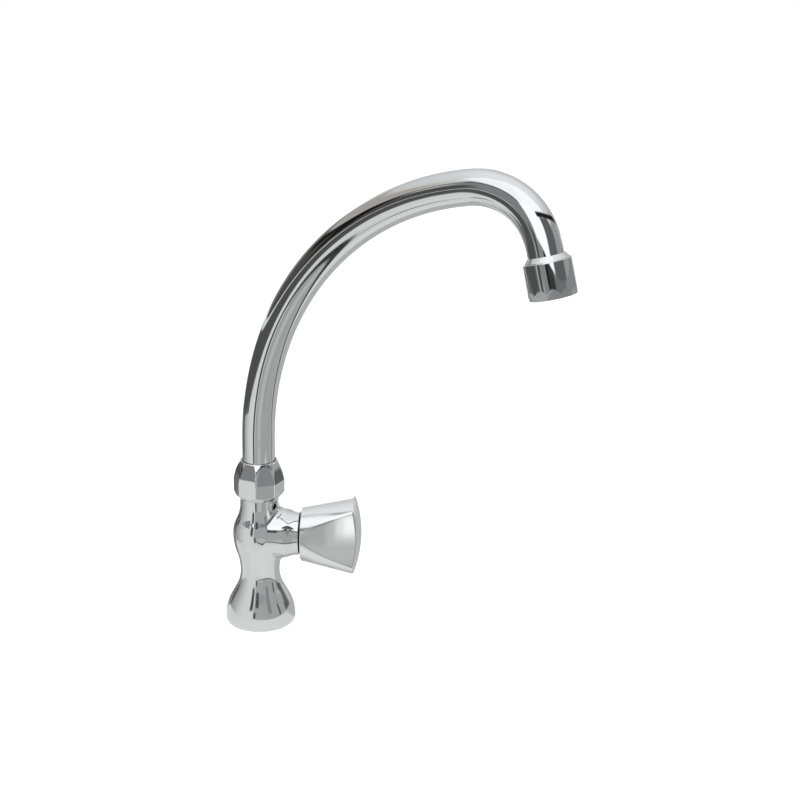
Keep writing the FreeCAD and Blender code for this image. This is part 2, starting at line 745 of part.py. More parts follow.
def spout_tube():
    """The swan neck: one tube swept up, over in three bends and down into the outlet bush."""
    body = on_spout(new_body("spout_tube"))
    path = new_sketch(body, "path", "XZ_Plane")
    chain(path, [
        ("0", "tube_start"),
        ("0", "bend_start", "-long_bend_radius"),
        ("bend_two_reach", "bend_two_height", "-crown_bend_radius"),
        ("bend_three_reach", "bend_three_height", "-end_bend_radius"),
        ("bend_end_reach", "bend_end_height"),
        ("tube_end_reach", "tube_end_height"),
    ], closed=False)
    section = circles(body, "section", "XY_Plane", ["tube_radius", "tube_bore_radius"], "tube_start")
    feature(body, "AdditivePipe", "sweep", section, Spine=path)


def outlet():
    """The bush on the tube's end, and the aerator shell that screws onto it."""
    bush = on_outlet(new_body("outlet_bush"))
    section = outline(bush, "section", "XZ_Plane", [
        ("tube_bore_radius", "-aerator_thread_length"),
        ("aerator_thread_radius", "-aerator_thread_length"),
        ("aerator_thread_radius", "0"),
        ("bush_shoulder_radius", "0"),
        ("tube_radius + bush_edge", "bush_cone_height"),
        ("tube_radius", "bush_cone_height"),
        ("tube_radius", "-tube_socket"),
        ("tube_bore_radius", "-tube_socket"),
    ])
    turned(bush, "turning", section, "V_Axis")
    shell = on_outlet(new_body("aerator_housing"))
    section = outline(shell, "section", "XZ_Plane", [
        ("aerator_mouth_radius", "-aerator_length"),
        ("aerator_radius", "-aerator_length"),
        ("aerator_radius", "-aerator_top_chamfer"),
        ("aerator_radius - aerator_top_chamfer", "0"),
        ("aerator_thread_radius", "0"),
        ("aerator_thread_radius", "core_shoulder"),
        ("aerator_mouth_radius", "core_shoulder"),
    ])
    turned(shell, "turning", section, "V_Axis")
    facet = outline(shell, "facet", "XZ_Plane", [
        ("facet_distance", "-aerator_length"),
        ("aerator_radius + 1", "-aerator_length"),
        ("aerator_radius + 1", "facet_top"),
        ("aerator_radius", "facet_top"),
    ])
    cut = sunk(shell, "facet_cut", facet, "aerator_radius", SideType="Symmetric")
    around(shell, "facets", cut, "Z_Axis", "facet_count")


def aerator_inside():
    """Gasket, jet core, screen and outlet grid."""
    gasket = on_outlet(new_body("aerator_gasket"))
    radii = ["aerator_thread_radius - 0.1", "tube_bore_radius"]
    section = circles(gasket, "section", "XY_Plane", radii, "core_top")
    raised(gasket, "ring", section, "aerator_gasket_thickness")
    core = on_outlet(new_body("aerator_core"))
    section = outline(core, "section", "XZ_Plane", [
        ("0", "jet_plate_bottom"),
        ("core_bore_radius", "jet_plate_bottom"),
        ("core_bore_radius", "core_bottom"),
        ("core_radius", "core_bottom"),
        ("core_radius", "core_shoulder"),
        ("aerator_thread_radius - 0.1", "core_shoulder"),
        ("aerator_thread_radius - 0.1", "core_top"),
        ("core_bore_radius", "core_top"),
        ("core_bore_radius", "jet_plate_top"),
        ("0", "jet_plate_top"),
    ])
    turned(core, "cup", section, "V_Axis")
    jet = circles(core, "jet", "XY_Plane", ["jet_radius"], "jet_plate_top", ("jet_circle", "0"))
    hole = sunk(core, "jet_hole", jet, "jet_plate_thickness")
    around(core, "jets", hole, "Z_Axis", "jet_count")
    screen = on_outlet(new_body("aerator_screen"))
    disc = circles(screen, "section", "XY_Plane", ["core_bore_radius"], "jet_plate_top")
    raised(screen, "disc", disc, "screen_thickness")
    grid = on_outlet(new_body("aerator_grid"))
    disc = circles(grid, "section", "XY_Plane", ["core_bore_radius"], "core_bottom")
    raised(grid, "disc", disc, "grid_thickness")
    cell = outline(grid, "middle_cell", "XY_Plane", polygon("6", "grid_cell"), "core_bottom + grid_thickness")
    sunk(grid, "middle", cell, "grid_thickness")
    for circle in (1, 2, 3):
        points = [(f"{circle} * grid_pitch + {x}", y) for x, y in polygon("6", "grid_cell")]
        cell = outline(grid, f"cell_{circle}", "XY_Plane", points, "core_bottom + grid_thickness")
        hole = sunk(grid, f"hole_{circle}", cell, "grid_thickness")
        around(grid, f"cells_{circle}", hole, "Z_Axis", f"6 * {circle}")


# Valve headwork and knob


def headwork():
    """The housing that screws into the boss, with its gasket."""
    gasket = on_valve_axis(new_body("headwork_gasket"))
    radii = ["housing_flange_radius", "valve_thread_radius"]
    section = circles(gasket, "section", "YZ_Plane", radii, "boss_length")
    raised(gasket, "ring", section, "fibre_thickness")
    body = on_valve_axis(new_body("headwork_housing"))
    section = outline(body, "section", "XZ_Plane", [
        ("housing_start", "0"),
        ("housing_start", "valve_thread_radius"),
        ("flange_start", "valve_thread_radius"),
        ("flange_start", "housing_flange_radius"),
        ("hexagon_start", "housing_flange_radius"),
        ("hexagon_start", "housing_neck_radius"),
        ("housing_end", "housing_neck_radius"),
        ("housing_end", "0"),
    ])
    turned(body, "turning", section, "H_Axis")
    hexagon = outline(body, "hexagon", "YZ_Plane", polygon("6", "housing_flats"), "hexagon_start")
    raised(body, "spanner_flats", hexagon, "housing_hexagon_length")
    guide = outline(body, "guide", "YZ_Plane", polygon("6", "plunger_flats + guide_clearance"), "guide_end")
    sunk(body, "guide_hole", guide, "guide_length")
    bore = outline(body, "bore", "XZ_Plane", [
        ("guide_end", "0"),
        ("guide_end", "collar_hole_radius"),
        ("collar_hole_end", "collar_hole_radius"),
        ("collar_hole_end", "spindle_hole_radius"),
        ("housing_end", "spindle_hole_radius"),
        ("housing_end", "0"),
    ])
    turned(body, "spindle_hole", bore, "H_Axis", cut=True)


def spindle():
    """The spindle with its drive thread, collar, seal grooves and splined end, and what sits on it."""
    body = on_valve_axis(new_body("valve_spindle"))
    grooves = []
    for place in ("spindle_seal_low", "spindle_seal_high"):
        grooves += [
            (f"{place} - 0.55 * spindle_seal_thickness", "spindle_radius"),
            (f"{place} - 0.55 * spindle_seal_thickness", "spindle_groove_radius"),
            (f"{place} + 0.55 * spindle_seal_thickness", "spindle_groove_radius"),
            (f"{place} + 0.55 * spindle_seal_thickness", "spindle_radius"),
        ]
    section = outline(body, "section", "XZ_Plane", [
        ("spindle_start", "0"),
        ("spindle_start", "spindle_thread_radius - thread_chamfer"),
        ("spindle_start + thread_chamfer", "spindle_thread_radius"),
        ("guide_end", "spindle_thread_radius"),
        ("guide_end", "collar_radius"),
        ("collar_end", "collar_radius"),
        ("collar_end", "spindle_radius"),
        *grooves,
        ("circlip_start", "spindle_radius"),
        ("circlip_start", "circlip_groove_radius"),
        ("circlip_end", "circlip_groove_radius"),
        ("circlip_end", "spindle_radius"),
        ("spline_start", "spindle_radius"),
        ("spline_start", "0"),
    ])
    turned(body, "turning", section, "H_Axis")
    teeth = star("spline_teeth", "spindle_radius", "spline_depth")
    teeth = outline(body, "teeth", "YZ_Plane", teeth, "spline_start")
    raised(body, "spline", teeth, "spline_end - spline_start")
    hole = circles(body, "screw_circle", "YZ_Plane", ["screw_hole_radius"], "spline_end")
    sunk(body, "screw_hole", hole, "spline_end - screw_hole_start")
    circlip = on_valve_axis(new_body("spindle_circlip"))
    section = outline(circlip, "section", "XZ_Plane", [
        ("circlip_start", "circlip_groove_radius"),
        ("circlip_end", "circlip_groove_radius"),
        ("circlip_end", "circlip_radius"),
        ("circlip_start", "circlip_radius"),
    ])
    turned(circlip, "ring", section, "H_Axis", angle="circlip_angle")
    for name, place in (("inner", "spindle_seal_low"), ("outer", "spindle_seal_high")):
        o_ring = on_valve_axis(new_body(f"spindle_o_ring_{name}"))
        seal(o_ring, "ring", place, "spindle_seal_thickness", "spindle_radius", "H_Axis")


def plunger():
    """The hexagonal slider with its seat washer and screw."""
    body = on_valve_axis(new_body("valve_plunger"))
    head = circles(body, "head_circle", "YZ_Plane", ["plunger_head_radius"], "washer_back")
    raised(body, "head", head, "plunger_head_thickness")
    hexagon = outline(body, "hexagon", "YZ_Plane", polygon("6", "plunger_flats"), "head_end")
    raised(body, "slider", hexagon, "plunger_end - head_end")
    bore = circles(body, "bore_circle", "YZ_Plane", ["plunger_bore_radius"], "plunger_end")
    sunk(body, "bore", bore, "plunger_end - head_end")
    tapped = circles(body, "tapped_circle", "YZ_Plane", ["washer_screw_shank_radius"], "head_end")
    sunk(body, "tapped_hole", tapped, "plunger_head_thickness")
    washer = on_valve_axis(new_body("seat_washer"))
    radii = ["seat_washer_radius", "washer_screw_shank_radius"]
    section = circles(washer, "section", "YZ_Plane", radii, "seat_face")
    raised(washer, "disc", section, "seat_washer_thickness")
    screw = on_valve_axis(new_body("washer_screw"))
    section = outline(screw, "section", "XZ_Plane", [
        ("seat_face - washer_screw_head", "0"),
        ("seat_face - washer_screw_head", "washer_screw_radius - 0.3"),
        ("seat_face - washer_screw_head + 0.3", "washer_screw_radius"),
        ("seat_face", "washer_screw_radius"),
        ("seat_face", "washer_screw_shank_radius"),
        ("washer_back + washer_screw_grip", "washer_screw_shank_radius"),
        ("washer_back + washer_screw_grip", "0"),
    ])
    turned(screw, "turning", section, "H_Axis")


def knob():
    """The coned shell with a domed front, two grip faces and a hub for the splined insert."""
    body = on_valve_axis(new_body("knob"))
    section = outline(body, "section", "XZ_Plane", [
        ("knob_rear", "0"),
        ("knob_tip", "0", "dome_curve"),
        ("knob_rim", "knob_rim_radius"),
        ("knob_rear", "knob_rear_radius"),
    ])
    turned(body, "cone", section, "H_Axis")
    radii = ["grip_radius", "grip_radius + knob_rim_radius"]
    ring = circles(body, "grip_ring", "YZ_Plane", radii, "0", ("0", "grip_front_distance - grip_radius"))
    ring.AttachmentOffset = FreeCAD.Placement(
        FreeCAD.Vector(0, 0, value("knob_rim")),
        FreeCAD.Rotation(FreeCAD.Vector(0, 0, 1), 90 - value("grip_lift"))
        * FreeCAD.Rotation(FreeCAD.Vector(1, 0, 0), value("grip_tilt")),
    )
    ring.setExpression("AttachmentOffset.Base.z", bound("knob_rim"))
    cut = sunk(body, "grip", ring, "4 * knob_tip", SideType="Symmetric")
    around(body, "grips", cut, "X_Axis", "grip_count")
    rounded(body, "rim_edges", "knob_edge_radius", is_knob_rim)
    hollow = outline(body, "hollow", "XZ_Plane", [
        ("knob_rear", "0"),
        ("knob_rear", "cavity_radius"),
        ("cavity_end", "cavity_end_radius"),
        ("cavity_end", "hub_radius"),
        ("hub_start", "hub_radius"),
        ("hub_start", "insert_radius"),
        ("insert_end", "insert_radius"),
        ("insert_end", "screw_hole_radius + screw_clearance"),
        ("knob_screw_seat", "screw_hole_radius + screw_clearance"),
        ("knob_screw_seat", "screw_well_radius"),
        ("cap_seat", "screw_well_radius"),
        ("cap_seat", "cap_radius"),
        ("knob_tip + 1", "cap_radius"),
        ("knob_tip + 1", "0"),
    ])
    turned(body, "hollowing", hollow, "H_Axis", cut=True)
    insert = on_valve_axis(new_body("spline_insert"))
    block = circles(insert, "block_circle", "YZ_Plane", ["insert_radius"], "insert_start")
    raised(insert, "block", block, "insert_end - insert_start")
    teeth = star("spline_teeth", "spindle_radius + spline_clearance", "spline_depth")
    broach = outline(insert, "teeth", "YZ_Plane", teeth, "insert_end")
    sunk(insert, "broached_hole", broach, "insert_end - insert_start")
    screw = on_valve_axis(new_body("knob_screw"))
    section = outline(screw, "section", "XZ_Plane", [
        ("knob_screw_tip", "0"),
        ("knob_screw_tip", "knob_screw_radius - 0.4"),
        ("knob_screw_tip + 0.6", "knob_screw_radius"),
        ("knob_screw_seat", "knob_screw_radius"),
        ("knob_screw_seat", "knob_screw_head_radius"),
        ("knob_screw_seat + knob_screw_head - 0.6", "knob_screw_head_radius"),
        ("knob_screw_seat + knob_screw_head", "knob_screw_head_radius - 0.9"),
        ("knob_screw_seat + knob_screw_head", "0"),
    ])
    turned(screw, "turning", section, "H_Axis")
    cap = on_valve_axis(new_body("index_cap"))
    section = outline(cap, "section", "XZ_Plane", [
        ("cap_seat", "0"),
        ("knob_tip", "0", "dome_curve"),
        ("cap_edge", "cap_fit"),
        ("cap_seat", "cap_fit"),
    ])
    turned(cap, "turning", section, "H_Axis")


def is_knob_rim(edge):
    """True for the edges that run round the knob's front rim."""
    return edge.BoundBox.XMin > value("knob_rim") - 0.01 and edge.Length > value("knob_edge_radius")


def check_and_write():
    """Stop on any failed object or bad shape, then write one STEP file for each sub-part."""
    document.recompute()
    for item in document.Objects:
        if {"Invalid", "Error"} & set(item.State):
            raise RuntimeError(f"{item.Name} failed: {item.State}")
    os.makedirs("parts", exist_ok=True)
    for body in BODIES:
        if body.Shape.isNull() or not body.Shape.isValid():
            raise RuntimeError(f"{body.Label} has no valid shape")
    for body in BODIES:
        body.Shape.exportStep(f"parts/{body.Label}.step")
        print(f"{body.Label}: {len(body.Shape.Solids)} solid, {body.Shape.Volume:.1f} cubic millimetres")


tap_body()
fixings()
spout_nut()
spout_foot()
spout_tube()
outlet()
aerator_inside()
headwork()
spindle()
plunger()
knob()
check_and_write()
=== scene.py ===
"""Basin tap: its chrome surfaces, fixings and studio, in metres, +Z up from the deck.

New surfaces are grids of points worked out as whole arrays: a profile turned about an axis, a ring
carried along a path, or a shape whose radius is found along rays. Sizes are the real ones.
"""
import json
import math
from collections import namedtuple
from functools import partial

import bmesh
import bpy
import numpy as np
from mathutils import Matrix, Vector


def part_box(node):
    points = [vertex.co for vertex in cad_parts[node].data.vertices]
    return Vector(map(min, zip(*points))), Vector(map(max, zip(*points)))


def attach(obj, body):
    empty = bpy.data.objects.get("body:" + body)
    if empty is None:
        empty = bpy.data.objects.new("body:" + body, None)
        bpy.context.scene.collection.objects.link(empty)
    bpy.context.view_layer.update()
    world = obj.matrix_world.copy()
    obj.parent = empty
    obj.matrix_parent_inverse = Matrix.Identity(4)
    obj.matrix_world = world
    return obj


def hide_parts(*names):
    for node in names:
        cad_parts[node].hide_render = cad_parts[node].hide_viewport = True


bl_info = {
    "name": "Basin tap",
    "version": (1, 0, 0),
    "blender": (4, 5, 0),
    "location": "3D View > Sidebar > Tap",
    "description": "Chrome surfaces, fixings, finishes and studio of a basin tap",
    "category": "Add Mesh",
}

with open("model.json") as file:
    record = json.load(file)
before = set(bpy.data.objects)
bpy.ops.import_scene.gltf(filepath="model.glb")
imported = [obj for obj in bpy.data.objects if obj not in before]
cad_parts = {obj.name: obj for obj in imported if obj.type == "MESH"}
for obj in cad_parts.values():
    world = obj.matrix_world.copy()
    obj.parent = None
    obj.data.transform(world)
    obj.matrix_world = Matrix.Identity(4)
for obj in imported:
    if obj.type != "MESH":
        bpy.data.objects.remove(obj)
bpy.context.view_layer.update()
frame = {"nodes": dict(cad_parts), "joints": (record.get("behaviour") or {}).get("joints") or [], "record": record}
MM = 0.001
WELD = 1e-6
SHARP_ANGLE = math.radians(35)

# Columns round the pieces, steps of the tube's path and how many of them become rows, and the steps,
# halvings and longest way of a ray that looks for a surface
BODY_COLUMNS, TUBE_COLUMNS, KNOB_COLUMNS = 240, 88, 420
SHANK_COLUMNS, TURNED_COLUMNS, RING_COLUMNS = 72, 144, 120
PATH_STEPS, PATH_ROWS = 6000, 331
RAY_STEP, RAY_HALVINGS, RAY_REACH, SIDE_REACH = 0.5 * MM, 30, 30 * MM, 26 * MM

VALVE_HEIGHT = next(joint["pos_m"][2] for joint in frame["joints"] if joint["name"] == "knob_turn")
BODY_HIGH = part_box("body")[1]
NUT_LOW, NUT_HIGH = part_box("spout_nut")
KNOB_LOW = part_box("knob")[0]
CAP_LOW, CAP_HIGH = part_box("index_cap")
TUBE_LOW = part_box("spout_tube")[0]

# Inside the body: the neck, the water way, the tail's thread, the recess under the foot, the neck's
# bore and the floor of the valve's bore
NECK_START, NECK_TOP = NUT_LOW.z - 0.3 * MM, BODY_HIGH.z
WATER_WAY, WATER_WAY_TOP = 6.0 * MM, 41.47 * MM
TAIL_TOP = 12 * MM
RECESS, RECESS_TOP = 15.8 * MM, 2.5 * MM
NECK_BORE, NECK_FLOOR = 7.5 * MM, 66 * MM
VALVE_FLOOR = 1.3 * MM

# Heights between which the boss grows out of the pillar
WINDOW_LOW, WINDOW_HIGH = 33 * MM, 71.6 * MM


# Settings that a user would change


def setting(default, description, kind=bpy.props.FloatProperty, **more):
    """A setting that still needs its name."""
    return partial(kind, default=default, description=description, **more)


def length(millimetres, description):
    """A length, given in millimetres."""
    return setting(millimetres * MM, description, precision=5, unit="LENGTH")


def angle(degrees, description):
    """An angle, given in degrees."""
    return setting(math.radians(degrees), description, subtype="ANGLE")


def share(amount, description):
    """A part between nothing and the whole."""
    return setting(amount, description, min=0, max=1, subtype="FACTOR")


def colour(red, green, blue, description):
    """A linear colour."""
    kind = bpy.props.FloatVectorProperty
    return setting((red, green, blue), description, kind, min=0, max=1, subtype="COLOR")


def whole(number, least, description):
    """A whole number."""
    return setting(number, description, bpy.props.IntProperty, min=least)


def named_settings(group):
    """Make a group's settings, each named after its field."""
    for field, make in group.__annotations__.items():
        group.__annotations__[field] = make(name=field.replace("_", " ").capitalize())
    return group


@named_settings
class TapBodySizes(bpy.types.PropertyGroup):
    """Sizes of the waisted body, its side boss and the fixings below it."""

    foot_radius: length(18.4, "Radius of the foot where it meets the deck")
    foot_edge: length(4.5, "Curve of the foot's lower edge")
    belly_radius: length(19.39, "Radius of the foot's widest place")
    belly_height: length(3.6, "Height of the foot's widest place")
    belly_curve: length(22.0, "Curve of the foot above its widest place")
    flank_low_radius: length(16.79, "Radius where the straight flank starts")
    flank_low_height: length(14.0, "Height where the straight flank starts")
    flank_high_radius: length(13.27, "Radius where the straight flank ends")
    flank_high_height: length(20.55, "Height where the straight flank ends")
    waist_radius: length(10.9, "Radius of the waist")
    waist_height: length(30.0, "Height of the waist")
    waist_curve: length(20.0, "Curve from the flank into the waist")
    bulge_radius: length(14.8, "Radius of the pillar at the valve")
    neck_radius: length(10.6, "Radius of the neck under the nut")
    shoulder_height: length(70.0, "Height where the shoulder meets the neck")
    thread_radius: length(10.48, "Radius of the neck's and the tail's threads")
    thread_pitch: length(1.814, "Pitch of the tail's thread")
    thread_depth: length(1.0, "Depth of the tail's thread")
    boss_radius: length(12.05, "Radius of the boss at its end")
    boss_root: length(14.2, "Radius of the boss where it leaves the pillar")
    boss_root_length: length(11.0, "Where the boss starts to narrow")
    boss_blend: length(4.0, "Fillet between the boss and the pillar")
    valve_bore: length(8.33, "Radius of the bore that takes the headwork")
    backnut_flats: length(28.0, "Backnut across flats")


@named_settings
class TapNutSizes(bpy.types.PropertyGroup):
    """Sizes of the octagonal union nut."""

    flats: length(26.2, "Size across the flats")
    bottom_radius: length(11.2, "Radius of the chamfered bottom edge")
    chamfer_height: length(3.2, "Height of the bottom chamfer")
    dome_start: length(10.1, "Height of the dome's edge above the nut's bottom")
    dome_curve: length(30.0, "Curve of the dome at its corners")
    facet_curve: length(60.0, "Curve of the leaning facets")
    rim_radius: length(10.0, "Outer radius of the rim round the tube")
    opening_radius: length(9.4, "Radius of the opening that the tube passes")
    sides: whole(8, 3, "Number of flats")


@named_settings
class TapSpoutSizes(bpy.types.PropertyGroup):
    """Sizes of the swan-neck tube, its bush and the aerator shell."""

    tube_radius: length(8.97, "Outer radius of the tube")
    tube_bore: length(8.0, "Inner radius of the tube")
    rise: length(18.8, "Straight length above the nut")
    long_bend: length(154.4, "Radius of the long bend")
    long_turn: angle(80.0, "Angle of the long bend")
    crown_bend: length(40.3, "Radius of the bend at the crown")
    crown_turn: angle(28.9, "Angle of the bend at the crown")
    end_bend: length(31.1, "Radius of the last bend")
    end_turn: angle(56.1, "Angle of the last bend")
    end_straight: length(6.9, "Straight length above the outlet")
    socket: length(3.0, "How far the tube reaches into the bush")
    swing: angle(30.2, "How far in front of the knob the spout rests")
    easing: length(5.0, "Length over which the bends start and stop")
    bush_radius: length(11.3, "Radius of the bush's shoulder")
    bush_cone: length(2.5, "Height of the bush's cone")
    bush_thread: length(11.0, "Radius of the bush's thread")
    bush_thread_length: length(8.0, "Length of the bush's thread")
    aerator_radius: length(12.0, "Outer radius of the aerator shell")
    aerator_length: length(17.5, "Length of the aerator shell")
    aerator_mouth: length(10.5, "Radius of the aerator's mouth")
    core_shoulder: length(10.9, "Depth of the step that carries the core")
    facet_distance: length(11.2, "Distance of a facet from the axis at the mouth")
    facet_height: length(4.7, "Height of the facets")
    facets: whole(12, 3, "Number of spanner facets")


@named_settings
class TapKnobSizes(bpy.types.PropertyGroup):
    """Sizes of the coned knob and its index cap, measured along the valve's axis."""

    rim: length(52.6, "Distance of the front rim from the pillar's axis")
    rear_radius: length(15.2, "Radius of the knob's rear edge")
    rim_radius: length(21.75, "Radius of the knob's front rim")
    grip_radius: length(120.0, "Radius of the slightly crowned grip faces")
    grip_rear: length(15.5, "Distance of a grip face from the axis at the rear")
    grip_front: length(15.65, "Distance of a grip face from the axis at the rim")
    grip_lift: angle(8.0, "How far the front grip face looks up")
    edge: length(0.7, "Rounding of the knob's edges")
    cavity_rear: length(12.8, "Radius of the cavity at the rear")
    cavity_front: length(11.2, "Radius of the cavity at its end")
    cavity_end: length(49.5, "Where the cavity ends")
    hub_radius: length(8.0, "Radius of the hub")
    hub_start: length(35.95, "Where the hub starts")
    insert_radius: length(5.6, "Radius of the splined insert")
    insert_end: length(46.45, "Where the insert's bore ends")
    screw_hole: length(2.2, "Radius of the hole for the knob's screw")
    screw_seat: length(48.95, "Where the screw's head seats")
    screw_well: length(5.0, "Radius of the well round the screw's head")
    cap_hole: length(8.4, "Radius of the hole that the index cap closes")
    cap_radius: length(8.35, "Radius of the index cap")
    grips: whole(2, 1, "Number of grip faces")


@named_settings
class TapFinish(bpy.types.PropertyGroup):
    """Colours and polish of the tap's materials."""

    chrome: colour(0.77, 0.78, 0.785, "Polished chrome plate")
    chrome_polish: share(0.045, "Roughness of the polished chrome")
    cast_polish: share(0.07, "Roughness of the chrome on the cast body")
    knob_chrome: colour(0.83, 0.835, 0.835, "Chrome plate of the knob")
    knob_polish: share(0.16, "Roughness of the knob's softer polish")
    brass: colour(0.66, 0.47, 0.2, "Machined brass")
    steel: colour(0.56, 0.57, 0.58, "Bright stainless steel")
    rubber: colour(0.022, 0.022, 0.024, "Black rubber")
    white_plastic: colour(0.78, 0.78, 0.74, "Moulded acetal")
    grey_plastic: colour(0.2, 0.21, 0.22, "Moulded nylon")
    # The fibre gasket's colour is darkened nearly to black as painted shade for the narrow gap between the boss
    # and the knob, where the red fibre sits in shadow.
    fibre: colour(0.022, 0.012, 0.01, "Fibre gasket, dark with water")


@named_settings
class TapStudio(bpy.types.PropertyGroup):
    """The floor, the camera, and the cards that only the chrome shows."""

    floor_size: length(6000.0, "Side of the floor")
    floor_grey: share(0.61, "How bright the floor looks in the chrome")
    far_card_distance: length(300.0, "Distance of the grey card in front")
    far_card_height: length(240.0, "Height of the grey card in front")
    side_card_distance: length(120.0, "Distance of the cards on the left")
    lens: setting(68.88, "Focal length in millimetres")
    camera_place: setting(
        (0.1023, -0.7825, 0.3875), "Place of the camera", bpy.props.FloatVectorProperty, subtype="XYZ"
    )
    camera_yaw: angle(1.87, "Turn of the camera to the left")
    camera_pitch: angle(18.10, "Tilt of the camera downwards")
    camera_roll: angle(-0.96, "Roll of the camera")


# Profiles and grids

# A place on a profile: its distance across from the axis and along it, how its corner is rounded, and
# the radius of the bend that leads on to the next place
Station = namedtuple("Station", "across along edge bend", defaults=(0.0, 0.0))


def arc(start, end, radius, pitch):
    """Points on the circle of this radius from start to end, at most a pitch apart.

    The centre is beside the middle of the chord, as far off as the radius and half the chord give.
    A positive radius bulges to the right of the way, a negative one to the left.
    """
    start, end = np.array(start, float), np.array(end, float)
    chord = end - start
    half = np.linalg.norm(chord) / 2
    left = np.array([-chord[1], chord[0]]) / (2 * half)
    side = math.copysign(1, radius)
    centre = (start + end) / 2 + side * math.sqrt(max(radius**2 - half**2, 0)) * left
    turn = side * 2 * math.asin(min(1, half / abs(radius)))
    first = math.atan2(*(start - centre)[::-1])
    count = max(2, math.ceil(abs(turn * radius) / pitch))
    angles = first + turn * np.linspace(0, 1, count + 1)
    return centre + abs(radius) * np.stack([np.cos(angles), np.sin(angles)], 1)


def straight(start, end, pitch):
    """Evenly spaced points on a line, at most a pitch apart."""
    start, end = np.array(start, float), np.array(end, float)
    count = max(1, math.ceil(np.linalg.norm(end - start) / pitch))
    return start + (end - start) * np.linspace(0, 1, count + 1)[:, None]


def trimmed(points, distance, at_end):
    """A run of points cut back by a distance from one end."""
    if distance <= 0:
        return points
    points = points[::-1] if at_end else points
    along = np.concatenate([[0], np.cumsum(np.linalg.norm(np.diff(points, axis=0), axis=1))])
    distance = min(distance, 0.49 * along[-1])
    first = np.stack([np.interp(distance, along, points[:, axis]) for axis in (0, 1)])
    points = np.vstack([first, points[along > distance + WELD]])
    return points[::-1] if at_end else points


def fillet(before, corner, after, steps=6):
    """A round corner: the circle arc from before to after that the two sides at the corner touch.

    It is the rational curve of degree two whose middle weight is the cosine of half the turn.
    """
    first, second = corner - before, after - corner
    cosine = first @ second / (np.linalg.norm(first) * np.linalg.norm(second))
    weight = math.sqrt(max(0, (1 + cosine) / 2))
    share_along = np.linspace(0, 1, steps + 1)[:, None]
    ends = (1 - share_along) ** 2, share_along**2
    middle = 2 * weight * share_along * (1 - share_along)
    return (ends[0] * before + middle * corner + ends[1] * after) / (ends[0] + middle + ends[1])


def outline(stations, pitch, closed=False):
    """The dense profile through stations: each one's bend curves the way on from it, its edge rounds it.

    Across and along are a turned piece's radius and its place on the axis.
    """
    spots = [np.array(station[:2], float) for station in stations]
    following = spots[1:] + spots[:1] if closed else spots[1:]
    runs = [
        arc(spot, goal, station.bend, pitch) if station.bend else straight(spot, goal, pitch)
        for station, spot, goal in zip(stations, spots, following)
    ]
    profile = []
    for number, run in enumerate(runs):
        ahead = (number + 1) % len(stations)
        joined = closed or number + 1 < len(runs)
        if stations[number].edge and (closed or number):
            run = trimmed(run, cut_back(runs[number - 1], runs[number], stations[number].edge), False)
        profile.append(run)
        if joined and stations[ahead].edge:
            onward = runs[(number + 1) % len(runs)]
            reach = cut_back(runs[number], onward, stations[ahead].edge)
            profile[-1] = trimmed(run, reach, True)
            profile.append(fillet(profile[-1][-1], spots[ahead], trimmed(onward, reach, False)[0]))
    points = np.vstack(profile)
    apart = np.linalg.norm(np.diff(points, axis=0, append=points[:1]), axis=1) > WELD
    apart[-1] = apart[-1] or not closed
    return points[apart]


def cut_back(before, after, radius):
    """How far a rounded corner starts from its point: the radius times the tangent of half the turn."""
    first, second = before[-1] - before[-2], after[1] - after[0]
    cosine = first @ second / (np.linalg.norm(first) * np.linalg.norm(second))
    return radius * math.tan(math.acos(max(-1.0, min(1.0, cosine))) / 2)


def about_z(radius, angles, along):
    """Points at a radius and an angle about Z, at a place along it."""
    return np.stack([radius * np.cos(angles), radius * np.sin(angles), along + 0 * angles], -1)


def turned(profile, angles):
    """A profile of (radius, place on the axis) carried round Z: one row of the grid for each point."""
    return about_z(profile[:, :1], angles, profile[:, 1:2])


def full_circle(columns):
    """Evenly spaced angles round a circle."""
    return np.arange(columns) / columns * 2 * math.pi


def gathered(count, sectors):
    """Angles round a circle that gather at the corners between equal sectors, by a cosine in each."""
    within = (1 - np.cos(math.pi * np.arange(count) / count)) / 2
    return ((np.arange(sectors)[:, None] + within) * 2 * math.pi / sectors).ravel()


def eased_steps(count):
    """Shares from 0 to 1 that gather at both ends, by a cosine."""
    return (1 - np.cos(math.pi * np.linspace(0, 1, count + 1))) / 2


def smoothed(values, places, width):
    """Values along evenly spaced places, averaged over a width with both ends held."""
    reach = max(1, int(round(width / (places[1] - places[0]) / 2)))
    window = np.hanning(2 * reach + 3)[1:-1]
    padded = np.concatenate([
        2 * values[0] - values[reach:0:-1], values, 2 * values[-1] - values[-2:-reach - 2:-1]
    ])
    return np.convolve(padded, window / window.sum(), "valid")


def softer_of(first, second, reach):
    """The smaller of two values, with a rounded changeover where they differ by less than the reach."""
    lean = np.clip(0.5 + 0.5 * (second - first) / reach, 0, 1)
    return second + (first - second) * lean - reach * lean * (1 - lean)


def polygon_radius(angles, sides, flats, edge):
    """Radius of a polygon with a corner at angle 0 and its corners rounded by a circle.

    A side is at its distance over the cosine of the angle from its middle. Near a corner the radius
    is where the ray leaves the rounding circle.
    """
    sector = 2 * math.pi / sides
    from_corner = np.abs((angles + sector / 2) % sector - sector / 2)
    side = flats / 2 / np.cos(sector / 2 - from_corner)
    centre = (flats / 2 - edge) / math.cos(sector / 2)
    limit = np.arctan2(edge * math.sin(sector / 2), centre + edge * math.cos(sector / 2))
    inside = np.maximum(edge**2 - (centre * np.sin(from_corner)) ** 2, 0)
    return np.where(from_corner < limit, centre * np.cos(from_corner) + np.sqrt(inside), side)


# Meshes


def add_object(name, data):
    """A new object in the scene."""
    made = bpy.data.objects.new(name, data)
    bpy.context.scene.collection.objects.link(made)
    return made


def cells_of(numbers):
    """The four-cornered faces between neighbouring rows and columns of numbered points."""
    return np.stack([numbers[:-1, :-1], numbers[:-1, 1:], numbers[1:, 1:], numbers[1:, :-1]], -1)


